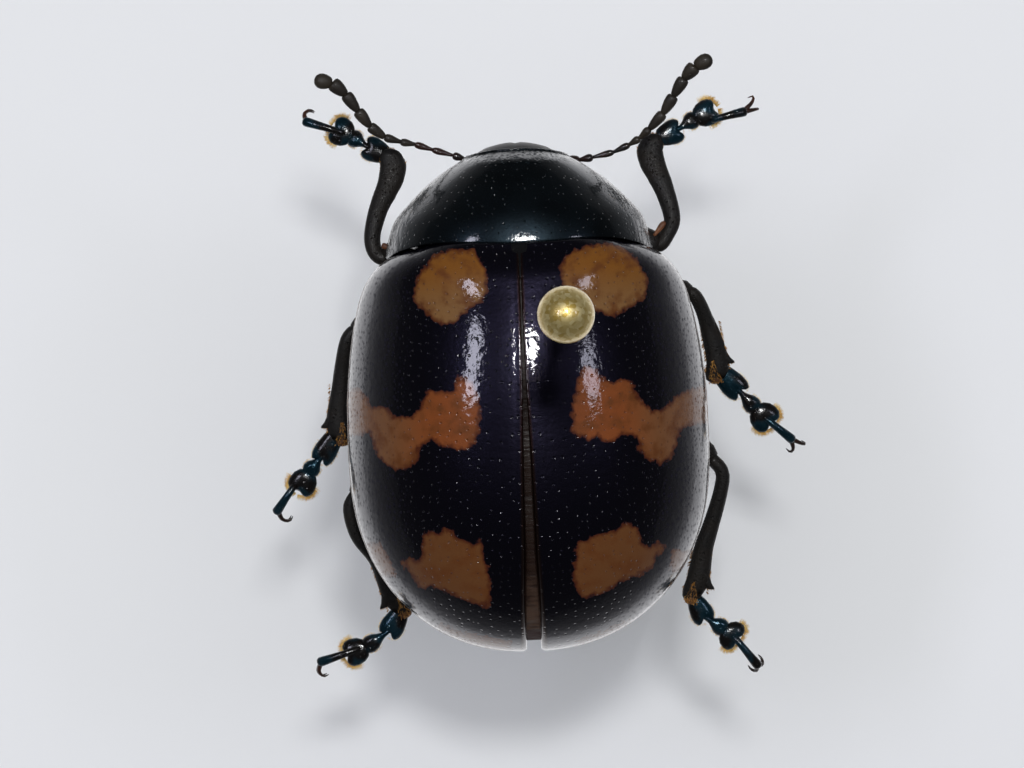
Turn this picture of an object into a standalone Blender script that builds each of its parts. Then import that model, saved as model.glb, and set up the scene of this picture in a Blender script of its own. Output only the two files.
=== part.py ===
# A pinned leaf beetle, life size: head, thorax, wing cases, abdomen, feelers and six legs,
# held by its insect pin in a small foam block.
# The beetle is modelled about the middle of the seam between pronotum and wing cases:
# +X is its right side, +Y is forwards, +Z is up, and z = 0 is the level of its widest line.

import math

import bmesh
import bpy
from mathutils import Vector

MM = 0.001
GAP = 0.2 * MM                      # slit between touching pieces
CLEAR = 0.15 * MM                   # room round the pin in every hole it runs through

# Foam block and pin
BLOCK_HALF_WIDTH = 3.9 * MM
BLOCK_HALF_LENGTH = 5.3 * MM
BLOCK_HEIGHT = 4.5 * MM
BLOCK_SQUARENESS = 2.6
BODY_ABOVE_BLOCK = 6.0 * MM         # from the top of the block to the widest line of the beetle
BODY_FORWARD = 3.9 * MM             # from the middle of the block to the pronotum seam
PIN_RADIUS = 0.25 * MM
PIN_X = 0.96 * MM
PIN_Y = -1.87 * MM
PIN_DEPTH = 3.4 * MM                # how far the pin is pushed into the block
PIN_HEAD_RADIUS = 0.64 * MM
PIN_HEAD_Z = 11.3 * MM              # middle of the ball above the widest line
PIN_IN_HEAD = 0.35 * MM

# Wing cases: one dome, parted along the suture
ELYTRA_HALF_WIDTH = 4.3 * MM
ELYTRA_WIDEST_Y = -4.6 * MM
ELYTRA_FRONT_REACH = 4.75 * MM
ELYTRA_FRONT_SQUARENESS = 4.0
ELYTRA_REAR_REACH = 5.12 * MM
ELYTRA_REAR_SQUARENESS = 2.25
ELYTRA_TOP = 3.75 * MM
ELYTRA_TOP_Y = -4.2 * MM
ELYTRA_FRONT_FALL = 45.0            # fall in metres for each square metre ahead of the top
ELYTRA_HEIGHT_REACH = 5.52 * MM
ELYTRA_HEIGHT_SQUARENESS = 2.3
ELYTRA_FRONT_Y = -0.1 * MM
ELYTRON_THICKNESS = 0.5 * MM
SKIRT_DROP = 0.3 * MM               # turned-in edge below the widest line
MARGIN_BOW = 9.0                    # the edge rises towards both ends
SUTURE_FRONT_GAP = 0.2 * MM
SUTURE_REAR_GAP = 0.58 * MM

# Pronotum and prosternum
PRONOTUM_HALF_WIDTH = 3.17 * MM
PRONOTUM_REACH = 2.4 * MM
PRONOTUM_SQUARENESS = 1.6
PRONOTUM_REAR_Y = 0.1 * MM
PRONOTUM_FRONT_Y = 2.17 * MM
PRONOTUM_TOP = 3.0 * MM
PRONOTUM_SLOPE = 0.15
PRONOTUM_FALL = 210.0
PROSTERNUM_HALF_WIDTH = 2.45 * MM
PROSTERNUM_FRONT_Y = 1.45 * MM
PROSTERNUM_TOP = -0.38 * MM
PROSTERNUM_DEPTH = 1.15 * MM

# Trunk under the wing cases
TRUNK_FRONT_Y = -0.1 * MM
TRUNK_REAR_Y = -8.98 * MM
TRUNK_DEPTH = 1.2 * MM
WAIST_Y = -3.1 * MM                 # between the hind coxae and the abdomen
VENTRITE_LENGTHS = (1.75, 1.15, 1.05, 0.95, 0.98)
VENTRITE_STEP = 0.07 * MM

# Head
HEAD_CENTRE = Vector((0.0, 1.5, 0.25)) * MM
HEAD_RADII = Vector((1.38, 0.9, 1.3)) * MM
CLYPEUS_CENTRE = Vector((0.0, 1.95, -0.55)) * MM
CLYPEUS_RADII = Vector((0.75, 0.45, 0.5)) * MM
EYE_CENTRE = Vector((1.2, 1.68, 0.4)) * MM
EYE_RADII = Vector((0.3, 0.38, 0.52)) * MM

SCUTELLUM_HALF_WIDTH = 0.45 * MM
SCUTELLUM_LENGTH = 1.0 * MM
SCUTELLUM_DEPTH = 0.62 * MM

# Feelers: where each of the eleven joints lies on the left and on the right, in millimetres
ANTENNA_ROOT = Vector((0.8, 1.9, -0.42)) * MM
ANTENNA_LEFT = ((-1.16, 2.10, -0.46), (-1.42, 2.12, -0.44), (-1.81, 2.28, -0.36), (-2.21, 2.41, -0.27),
                (-2.55, 2.49, -0.18), (-2.90, 2.58, -0.08), (-3.25, 2.78, 0.03), (-3.56, 3.09, 0.13),
                (-3.82, 3.48, 0.22), (-4.09, 3.82, 0.30), (-4.46, 4.01, 0.37))
ANTENNA_RIGHT = ((1.20, 2.06, -0.46), (1.72, 1.98, -0.44), (2.15, 2.05, -0.36), (2.55, 2.16, -0.27),
                 (2.84, 2.29, -0.18), (3.12, 2.47, -0.08), (3.42, 2.80, 0.05), (3.68, 3.16, 0.17),
                 (3.92, 3.55, 0.28), (4.20, 3.90, 0.38), (4.53, 4.14, 0.46))
ANTENNA_THIN = 0.25 * MM            # radius of the joints near the head
ANTENNA_CLUB = 0.27 * MM            # radius of the last five
ANTENNA_NECK = 0.74                 # share of the radius left between two joints
CLUB_FROM = 6

# Legs, in millimetres: coxa, knee, a point that bends the tibia, its end, the four tarsal joints
# that show, and the tip of the claws
LEGS = {
    "fore_left": ((-0.78, 0.75, -1.42), (-3.50, -0.05, -0.85), (-3.36, 1.05, -1.08), (-2.90, 2.15, -1.35),
                  ((-3.42, 2.30, -1.48), (-3.74, 2.61, -1.55), (-4.12, 2.92, -1.62), (-5.03, 3.17, -1.55)),
                  (-4.78, 3.36, -1.75)),
    "fore_right": ((0.78, 0.75, -1.42), (3.60, 0.12, -0.85), (3.50, 1.20, -1.08), (3.24, 2.35, -1.35),
                   ((3.78, 2.44, -1.48), (4.20, 2.66, -1.55), (4.60, 2.95, -1.62), (5.44, 3.02, -1.50)),
                   (5.60, 3.32, -1.70)),
    "mid_left": ((-1.25, -0.95, -1.48), (-3.98, -1.95, -0.95), (-4.26, -3.10, -1.25), (-4.52, -4.22, -1.60),
                 ((-4.83, -4.66, -1.76), (-5.12, -5.11, -1.86), (-5.34, -5.48, -1.95), (-6.03, -6.18, -2.0)),
                 (-5.72, -6.36, -2.25)),
    "mid_right": ((1.25, -0.95, -1.48), (3.86, -0.95, -0.95), (4.26, -2.05, -1.25), (4.60, -3.15, -1.60),
                  ((5.03, -3.55, -1.76), (5.37, -4.01, -1.86), (5.74, -4.34, -1.95), (6.42, -5.0, -2.0)),
                  (6.60, -5.25, -2.28)),
    "hind_left": ((-1.35, -2.75, -1.42), (-4.22, -5.80, -0.95), (-3.84, -7.30, -1.35), (-3.15, -8.50, -1.75),
                  ((-3.36, -8.98, -1.90), (-3.84, -9.41, -2.0), (-4.26, -9.69, -2.08), (-5.16, -9.86, -2.1)),
                  (-4.98, -10.18, -2.35)),
    "hind_right": ((1.35, -2.75, -1.42), (4.55, -5.50, -0.95), (4.45, -7.0, -1.35), (4.02, -8.35, -1.75),
                   ((4.05, -8.98, -1.90), (4.43, -9.26, -2.0), (4.77, -9.52, -2.08), (5.30, -10.35, -2.1)),
                   (5.46, -10.12, -2.35)),
}
COXA_RADII = Vector((0.52, 0.42, 0.4)) * MM
FEMUR_HALF_WIDTH = 0.4 * MM
FEMUR_END = 0.29 * MM
TIBIA_HALF_WIDTHS = (0.26 * MM, 0.27 * MM, 0.38 * MM)
TIBIA_HALF_THICKNESS = 0.26 * MM
SPUR_LENGTH = 0.3 * MM
TARSUS_NECK = 0.2 * MM
TARSUS_PAD = 0.27 * MM
LOBE_RADII = Vector((0.26, 0.24, 0.22)) * MM
LOBE_SPREAD = 0.19 * MM
CLAW_JOINT = (0.2 * MM, 0.25 * MM)
CLAW_SPREAD = 0.2 * MM
CLAW_HOOK = ((-0.1, 0.0, 0.3, 0.13), (0.12, 0.05, 0.8, 0.11), (0.22, 0.19, 1.0, 0.08), (0.12, 0.38, 1.1, 0.04))

FINISHES = {
    "cuticle": ((0.012, 0.012, 0.022), 0.16, 0.0),
    "leg_cuticle": ((0.010, 0.016, 0.022), 0.22, 0.0),
    "feeler_brown": ((0.035, 0.024, 0.014), 0.5, 0.0),
    "belly_cuticle": ((0.020, 0.014, 0.014), 0.35, 0.0),
    "eye_black": ((0.015, 0.011, 0.010), 0.25, 0.0),
    "pin_steel": ((0.60, 0.60, 0.58), 0.25, 1.0),
    "pin_ball": ((0.62, 0.50, 0.20), 0.3, 0.4),
    "foam_white": ((0.86, 0.87, 0.87), 0.7, 0.0),
}


def clear_scene():
    for old in list(bpy.data.objects):
        bpy.data.objects.remove(old)


def finish_of(name):
    """The material of that name, made once."""
    found = bpy.data.materials.get(name)
    if found:
        return found
    colour, roughness, metallic = FINISHES[name]
    made = bpy.data.materials.new(name)
    made.use_nodes = True
    made.diffuse_color = (*colour, 1.0)
    shader = made.node_tree.nodes["Principled BSDF"]
    shader.inputs["Base Color"].default_value = (*colour, 1.0)
    shader.inputs["Roughness"].default_value = roughness
    shader.inputs["Metallic"].default_value = metallic
    return made


def carrier(name, place):
    """An empty that carries a group of pieces."""
    empty = bpy.data.objects.new(name, None)
    bpy.context.scene.collection.objects.link(empty)
    empty.location = place
    return empty


def made_object(name, bm, parent):
    bmesh.ops.recalc_face_normals(bm, faces=bm.faces)
    mesh = bpy.data.meshes.new(name)
    bm.to_mesh(mesh)
    bm.free()
    obj = bpy.data.objects.new(name, mesh)
    bpy.context.scene.collection.objects.link(obj)
    obj.parent = parent
    return obj


def skinned(rings, first_pole=None, last_pole=None):
    """A closed surface through rings of equally many points, ending in a point or a flat cap."""
    bm = bmesh.new()
    loops = [[bm.verts.new(point) for point in ring] for ring in rings]
    count = len(loops[0])
    for low, high in zip(loops, loops[1:]):
        for i in range(count):
            j = (i + 1) % count
            bm.faces.new((low[i], low[j], high[j], high[i]))
    for loop, pole in ((loops[0], first_pole), (loops[-1], last_pole)):
        if pole is None:
            bm.faces.new(loop)
            continue
        tip = bm.verts.new(pole)
        for i in range(count):
            bm.faces.new((loop[i], loop[(i + 1) % count], tip))
    return bm


def ellipsoid(name, centre, radii, parent, grow=0.0, sides=16, rings=10):
    bm = bmesh.new()
    bmesh.ops.create_uvsphere(bm, u_segments=sides, v_segments=rings, radius=1.0)
    bmesh.ops.scale(bm, vec=radii + Vector((grow, grow, grow)), verts=bm.verts)
    bmesh.ops.translate(bm, vec=centre, verts=bm.verts)
    return made_object(name, bm, parent)


def rod(name, centre, radius, low, high, parent, sides=20):
    """An upright round rod from z = low to z = high."""
    bm = bmesh.new()
    bmesh.ops.create_cone(bm, cap_ends=True, segments=sides, radius1=radius, radius2=radius, depth=high - low)
    bmesh.ops.translate(bm, vec=(centre[0], centre[1], (low + high) / 2), verts=bm.verts)
    return made_object(name, bm, parent)


def through(knots, steps):
    """Points on one smooth curve through the knots, which may hold sizes behind their x, y and z."""
    knots = [Vector(k) for k in knots]
    padded = [2 * knots[0] - knots[1], *knots, 2 * knots[-1] - knots[-2]]
    points = []
    for a, b, c, d in zip(padded, padded[1:], padded[2:], padded[3:]):
        for step in range(steps):
            t = step / steps
            points.append(0.5 * (2 * b + (c - a) * t + (2 * a - 5 * b + 4 * c - d) * t * t
                                 + (3 * b - a - 3 * c + d) * t ** 3))
    points.append(knots[-1])
    return points


def limb(name, knots, parent, grow=0.0, sides=10, steps=2, flat_end=False):
    """A tapering limb. Each knot is x, y, z, half width and half thickness."""
    points = through(knots, steps)
    places = [Vector(p[:3]) for p in points]
    rings = []

    def along_at(i):
        return (places[min(i + 1, len(places) - 1)] - places[max(i - 1, 0)]).normalized()

    start, end = along_at(0), along_at(len(places) - 1)
    level = start.cross(Vector((0, 0, 1))).normalized()

    def ring(centre, along, half_width, half_thickness):
        nonlocal level
        level = (level - along * level.dot(along)).normalized()
        up = level.cross(along)
        turn = [2 * math.pi * i / sides for i in range(sides)]
        return [centre + level * half_width * math.cos(a) + up * half_thickness * math.sin(a) for a in turn]

    first, last = points[0], points[-1]
    start_round, end_round = min(first[3:5]) + grow, min(last[3:5]) + grow
    for share in (0.85, 0.5):
        width = math.sqrt(1 - share * share)
        rings.append(ring(places[0] - start * start_round * share, start,
                          (first[3] + grow) * width, (first[4] + grow) * width))
    for i, point in enumerate(points):
        rings.append(ring(places[i], along_at(i), point[3] + grow, point[4] + grow))
    if flat_end:
        rings.append(ring(places[-1] + end * (GAP / 4 + grow), end, last[3] + grow, last[4] + grow))
        return made_object(name, skinned(rings, places[0] - start * start_round), parent)
    for share in (0.5, 0.85):
        width = math.sqrt(1 - share * share)
        rings.append(ring(places[-1] + end * end_round * share, end,
                          (last[3] + grow) * width, (last[4] + grow) * width))
    return made_object(name, skinned(rings, places[0] - start * start_round, places[-1] + end * end_round), parent)


def keep_largest(mesh):
    """Drops every loose scrap and sealed inner wall of a mesh."""
    bm = bmesh.new()
    bm.from_mesh(mesh)
    waiting, shells = set(bm.verts), []
    while waiting:
        shell, front = set(), [waiting.pop()]
        while front:
            vert = front.pop()
            shell.add(vert)
            for edge in vert.link_edges:
                other = edge.other_vert(vert)
                if other in waiting:
                    waiting.remove(other)
                    front.append(other)
        shells.append(shell)
    shells.sort(key=lambda s: sum(f.calc_area() for f in {f for v in s for f in v.link_faces}), reverse=True)
    scraps = [v for shell in shells[1:] for v in shell]
    bmesh.ops.delete(bm, geom=scraps, context="VERTS")
    bm.to_mesh(mesh)
    bm.free()


def combine(target, others, operation):
    """One Boolean of the target with a collection of closed meshes, applied, and the others removed."""
    tools = bpy.data.collections.new("tools")
    for other in others:
        tools.objects.link(other)
    step = target.modifiers.new("combine", "BOOLEAN")
    step.operation = operation
    step.operand_type = "COLLECTION"
    step.collection = tools
    step.solver = "EXACT"
    bpy.context.view_layer.update()
    graph = bpy.context.evaluated_depsgraph_get()
    mesh = bpy.data.meshes.new_from_object(target.evaluated_get(graph))
    target.modifiers.clear()
    target.data = mesh
    for other in others:
        bpy.data.objects.remove(other)
    bpy.data.collections.remove(tools)
    keep_largest(mesh)
    return target


def finished(obj, name, material):
    """Names a node, gives it its finish and shades its round faces smooth."""
    obj.name = name
    obj.data.name = name
    obj.data.materials.clear()
    obj.data.materials.append(finish_of(material))
    obj.data.shade_smooth()
    obj.data.set_sharp_from_angle(angle=math.radians(40))
    return obj


def superellipse(share, power):
    """How wide a rounded outline still is at that share of its reach."""
    return max(0.0, 1 - min(abs(share), 1.0) ** power) ** (1 / power)


def margin_z(y):
    """Height of the widest line of the wing cases."""
    return MARGIN_BOW * (y - ELYTRA_WIDEST_Y) ** 2


def elytra_half_width(y, inset=0.0):
    ahead = y - ELYTRA_WIDEST_Y
    if ahead > 0:
        return ELYTRA_HALF_WIDTH * superellipse(ahead / ELYTRA_FRONT_REACH, ELYTRA_FRONT_SQUARENESS) - inset
    return (ELYTRA_HALF_WIDTH - inset) * superellipse(ahead / (ELYTRA_REAR_REACH - inset), ELYTRA_REAR_SQUARENESS)


def elytra_height(y, inset=0.0):
    ahead = y - ELYTRA_TOP_Y
    if ahead > 0:
        return ELYTRA_TOP - inset - ELYTRA_FRONT_FALL * ahead ** 2
    return (ELYTRA_TOP - inset) * superellipse(ahead / (ELYTRA_HEIGHT_REACH - inset), ELYTRA_HEIGHT_SQUARENESS)


def arch(half_width, height, y, base_z, steps):
    """Points of a rounded arch across the body, from its left foot over the top to its right foot."""
    turn = [math.pi * (i / steps - 0.5) for i in range(steps + 1)]
    return [Vector((half_width * math.sin(a), y, base_z + height * math.cos(a))) for a in turn]


def eased(low, high, steps, crowd=1.0):
    """Evenly eased stations from low to high, closer together towards high where crowd is over 1."""
    return [low + (high - low) * (1 - (1 - i / steps) ** crowd) for i in range(steps + 1)]


def elytra_dome(parent):
    rings = []
    rear = ELYTRA_WIDEST_Y - ELYTRA_REAR_REACH
    stations = eased(ELYTRA_FRONT_Y, ELYTRA_WIDEST_Y, 8) + eased(ELYTRA_WIDEST_Y, rear, 11, 1.9)[1:-1]
    for y in stations:
        half_width, base = elytra_half_width(y), margin_z(y)
        ring = arch(half_width, elytra_height(y), y, base, 20)
        for share, drop in ((0.975, 0.55), (0.93, 1.0)):
            ring.append(Vector((half_width * share, y, base - SKIRT_DROP * drop)))
        for share, drop in ((0.93, 1.0), (0.975, 0.55)):
            ring.append(Vector((-half_width * share, y, base - SKIRT_DROP * drop)))
        rings.append(ring)
    pole = Vector((0, rear, margin_z(rear)))
    return made_object("dome", skinned(rings, None, pole), parent)


def elytra_cavity(parent):
    """What the wing cases leave free under them, open downwards and forwards."""
    rings = []
    inset = ELYTRON_THICKNESS
    rear = ELYTRA_WIDEST_Y - ELYTRA_REAR_REACH + inset
    stations = eased(ELYTRA_FRONT_Y, ELYTRA_WIDEST_Y, 7) + eased(ELYTRA_WIDEST_Y, rear, 9, 1.9)[1:-1]
    for y in (0.5 * MM, *stations):
        source = min(y, ELYTRA_FRONT_Y)
        half_width, base = elytra_half_width(source, inset), margin_z(source)
        ring = arch(half_width, elytra_height(source, inset), y, base, 16)
        ring.append(Vector((half_width, y, -TRUNK_DEPTH)))
        ring.append(Vector((-half_width, y, -TRUNK_DEPTH)))
        rings.append(ring)
    return made_object("cavity", skinned(rings), parent)


def suture_wedge(parent, side):
    """Everything past the suture, seen from the wing case on that side (-1 left, +1 right)."""
    front, rear = 1 * MM, ELYTRA_WIDEST_Y - ELYTRA_REAR_REACH - 1 * MM
    low, high, far = -2 * MM, ELYTRA_TOP + 1 * MM, -side * 6 * MM
    near_front, near_rear = side * SUTURE_FRONT_GAP / 2, side * SUTURE_REAR_GAP / 2
    rings = [[Vector((near, y, low)), Vector((near, y, high)), Vector((far, y, high)), Vector((far, y, low))]
             for near, y in ((near_front, front), (near_front, -1 * MM), (near_rear, rear))]
    return made_object("wedge", skinned(rings), parent)


def scutellum_prism(name, parent, grow=0.0):
    """The little shield between the roots of the wing cases."""
    half, length = SCUTELLUM_HALF_WIDTH + grow, SCUTELLUM_LENGTH + grow * 1.5
    front_y = ELYTRA_FRONT_Y + grow * 2
    outline = ((-half, front_y), (half, front_y), (half * 0.82, -length * 0.5), (half * 0.2, -length),
               (-half * 0.2, -length), (-half * 0.82, -length * 0.5))
    top = elytra_height(-length / 2) + margin_z(-length / 2)
    slope = (elytra_height(front_y) - elytra_height(-length)) / (front_y + length)

    def level(y, lift):
        return top + slope * (y + length / 2) + lift

    low = [Vector((x, y, level(y, -SCUTELLUM_DEPTH - grow * 3))) for x, y in outline]
    high = [Vector((x, y, level(y, grow * 6))) for x, y in outline]
    return made_object(name, skinned([low, high]), parent)


def make_elytra(parent):
    for side, name in ((-1, "elytron_left"), (1, "elytron_right")):
        shell = elytra_dome(parent)
        cutters = [elytra_cavity(parent), suture_wedge(parent, side), scutellum_prism("notch", parent, GAP)]
        if side > 0:
            cutters.append(rod("pin_hole", (PIN_X, PIN_Y), PIN_RADIUS + CLEAR, -4 * MM, 8 * MM, parent))
        for cutter in cutters:
            combine(shell, [cutter], "DIFFERENCE")
        finished(shell, name, "cuticle")
    finished(scutellum_prism("scutellum", parent), "scutellum", "cuticle")


def head_form(parent, grow=0.0):
    return ellipsoid("head", HEAD_CENTRE, HEAD_RADII, parent, grow, 18, 11)


def clypeus_form(parent, grow=0.0):
    return ellipsoid("clypeus", CLYPEUS_CENTRE, CLYPEUS_RADII, parent, grow, 12, 7)


def pronotum_half_width(y):
    return PRONOTUM_HALF_WIDTH * superellipse(y / PRONOTUM_REACH, PRONOTUM_SQUARENESS)


def pronotum_height(y):
    return PRONOTUM_TOP - PRONOTUM_SLOPE * y - PRONOTUM_FALL * y * y


def make_pronotum(parent):
    rings = []
    for y in eased(PRONOTUM_REAR_Y, PRONOTUM_FRONT_Y, 10, 1.3):
        half_width = pronotum_half_width(y)
        base = 0.12 * MM - 0.1 * y
        ring = arch(half_width, pronotum_height(y) - base, y, base, 22)
        ring.append(Vector((half_width * 0.94, y, base - 0.2 * MM)))
        ring.append(Vector((-half_width * 0.94, y, base - 0.2 * MM)))
        rings.append(ring)
    plate = made_object("pronotum", skinned(rings), parent)
    hollows = [head_form(parent, GAP)]
    hollows += [eye(parent, side, GAP) for side in (-1, 1)]
    hollows += [feeler(parent, joints, GAP) for joints in (ANTENNA_LEFT, ANTENNA_RIGHT)]
    combine(plate, hollows, "DIFFERENCE")
    finished(plate, "pronotum", "cuticle")


def prosternum_block(parent, grow=0.0):
    rings = []
    for y in eased(PRONOTUM_REAR_Y - grow, PROSTERNUM_FRONT_Y + grow, 6):
        half_width = (PROSTERNUM_HALF_WIDTH + grow) * superellipse(y / (2.3 * MM), 2)
        depth = (PROSTERNUM_DEPTH + PROSTERNUM_TOP + grow) * superellipse(y / (4 * MM), 2)
        ring = [Vector((p.x, y, PROSTERNUM_TOP + grow - (p.z - PROSTERNUM_TOP)))
                for p in arch(half_width, depth + grow, y, PROSTERNUM_TOP, 12)]
        rings.append(ring)
    return made_object("prosternum", skinned(rings), parent)


def make_prosternum(parent):
    block = prosternum_block(parent)
    combine(block, [head_form(parent, GAP)], "DIFFERENCE")
    finished(block, "prosternum", "belly_cuticle")


def trunk_depth(y, stepped):
    """Depth of the belly below the widest line, with a step at the rear edge of each ventrite."""
    waist_share = max(0.0, (WAIST_Y - y) / (WAIST_Y - TRUNK_REAR_Y))
    depth = TRUNK_DEPTH * superellipse(waist_share, 2.2)
    if not stepped or y > WAIST_Y:
        return depth
    edge = WAIST_Y
    for length in VENTRITE_LENGTHS:
        share = (edge - y) / (length * MM)
        if 0 <= share <= 1.0001:
            return depth + VENTRITE_STEP * share * (1 - waist_share)
        edge -= length * MM
    return depth


def trunk_stations():
    stations = eased(TRUNK_FRONT_Y, WAIST_Y, 5)
    edge = WAIST_Y
    for length in VENTRITE_LENGTHS[:-1]:
        edge -= length * MM
        stations += [edge + length * 0.5 * MM, edge, edge - 0.06 * MM]
    stations += eased(edge - 0.12 * MM, TRUNK_REAR_Y + 0.05 * MM, 4)
    return stations


def trunk(parent, grow=0.0, stepped=True):
    """Meso- and metathorax and abdomen in one: it fills the wing cases and bulges below them."""
    inset = ELYTRON_THICKNESS + GAP - grow
    rings = []
    for y in trunk_stations():
        half_width = elytra_half_width(y, inset)
        base = margin_z(y)
        ring = arch(half_width, elytra_height(y, inset), y, base, 14)
        belly = arch(half_width, trunk_depth(y, stepped) + base + grow, y, 0.0, 14)
        ring += [Vector((p.x, y, base - p.z)) for p in reversed(belly[1:-1])]
        rings.append(ring)
    return made_object("trunk", skinned(rings), parent)


def slab(parent, front, rear):
    bm = bmesh.new()
    bmesh.ops.create_cube(bm, size=1.0)
    bmesh.ops.scale(bm, vec=(12 * MM, front - rear, 12 * MM), verts=bm.verts)
    bmesh.ops.translate(bm, vec=(0, (front + rear) / 2, 0), verts=bm.verts)
    return made_object("slab", bm, parent)


def make_trunk(parent):
    thorax = trunk(parent)
    combine(thorax, [slab(parent, WAIST_Y, -20 * MM)], "DIFFERENCE")
    combine(thorax, [scutellum_prism("seat", parent, GAP)], "DIFFERENCE")
    hole = rod("pin_hole", (PIN_X, PIN_Y), PIN_RADIUS + CLEAR, -4 * MM, 8 * MM, parent)
    combine(thorax, [hole], "DIFFERENCE")
    finished(thorax, "thorax", "belly_cuticle")
    abdomen = trunk(parent)
    combine(abdomen, [slab(parent, 20 * MM, WAIST_Y - GAP)], "DIFFERENCE")
    finished(abdomen, "abdomen", "belly_cuticle")


def eye(parent, side, grow=0.0):
    centre = Vector((side * EYE_CENTRE.x, EYE_CENTRE.y, EYE_CENTRE.z))
    return ellipsoid("eye", centre, EYE_RADII, parent, grow, 14, 8)


def make_head(parent):
    skull = head_form(parent)
    combine(skull, [clypeus_form(parent)], "UNION")
    for side, name in ((-1, "eye_left"), (1, "eye_right")):
        combine(skull, [eye(parent, side, GAP)], "DIFFERENCE")
        finished(eye(parent, side), name, "eye_black")
    finished(skull, "head", "cuticle")


def make_mouthparts(parent):
    """Upper lip, a pair of jaws and a pair of palps below the clypeus."""
    lip = ellipsoid("lip", Vector((0, 2.05, -1.22)) * MM, Vector((0.55, 0.32, 0.26)) * MM, parent, 0.0, 14, 8)
    pieces = []
    for side in (-1, 1):
        jaw = [(side * 0.5, 1.95, -1.2, 0.26, 0.26), (side * 0.42, 2.1, -1.5, 0.22, 0.2),
               (side * 0.12, 2.2, -1.72, 0.1, 0.1)]
        palp = [(side * 0.55, 1.7, -1.3, 0.25, 0.25), (side * 0.8, 1.75, -1.62, 0.25, 0.25),
                (side * 0.82, 2.0, -1.85, 0.2, 0.2)]
        for knots in (jaw, palp):
            pieces.append(limb("piece", [Vector(k) * MM for k in knots], parent, sides=8))
    combine(lip, pieces, "UNION")
    combine(lip, [head_form(parent, GAP)], "DIFFERENCE")
    combine(lip, [clypeus_form(parent, GAP)], "DIFFERENCE")
    combine(lip, [prosternum_block(parent, GAP)], "DIFFERENCE")
    finished(lip, "mouthparts", "leg_cuticle")


def feeler(parent, joints, grow=0.0):
    """Eleven joints as one beaded feeler: narrow between the joints, wider over the last five."""
    places = [Vector(j) * MM for j in joints]
    side = -1 if places[0].x < 0 else 1
    root = Vector((side * ANTENNA_ROOT.x, ANTENNA_ROOT.y, ANTENNA_ROOT.z))
    knots = [(*root, ANTENNA_THIN * 0.9, ANTENNA_THIN * 0.9)]
    for i, place in enumerate(places):
        radius = ANTENNA_CLUB if i >= CLUB_FROM else ANTENNA_THIN
        knots.append((*place, radius, radius))
        if i + 1 < len(places):
            waist = (place + places[i + 1]) / 2
            knots.append((*waist, radius * ANTENNA_NECK, radius * ANTENNA_NECK))
    return limb("feeler", knots, parent, grow, sides=8, steps=1)


def make_antenna(parent, name, joints):
    whole = feeler(parent, joints)
    combine(whole, [head_form(parent, GAP)], "DIFFERENCE")
    combine(whole, [eye(parent, -1 if joints[0][0] < 0 else 1, GAP)], "DIFFERENCE")
    finished(whole, name, "feeler_brown")


def femur_knots(coxa, knee):
    """A stout thigh from the coxa to the knee, swollen in its middle."""
    root = coxa + (knee - coxa) * 0.12 + Vector((0, 0, -0.16 * MM))
    middle = coxa.lerp(knee, 0.55) + Vector((0, 0, -0.1 * MM))
    return [(*root, FEMUR_END, FEMUR_END), (*middle, FEMUR_HALF_WIDTH, FEMUR_HALF_WIDTH * 0.9),
            (*knee, FEMUR_END, FEMUR_END)]


def tibia_knots(knee, bend, end):
    first, middle, last = TIBIA_HALF_WIDTHS
    return [(*knee, first, TIBIA_HALF_THICKNESS), (*bend, middle, TIBIA_HALF_THICKNESS),
            (*end, last, TIBIA_HALF_THICKNESS)]


def leg_body(leg, parent):
    """What the root of a leg lies against, grown by the slit."""
    if leg.startswith("fore"):
        return prosternum_block(parent, GAP)
    return trunk(parent, GAP, stepped=False)


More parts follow.
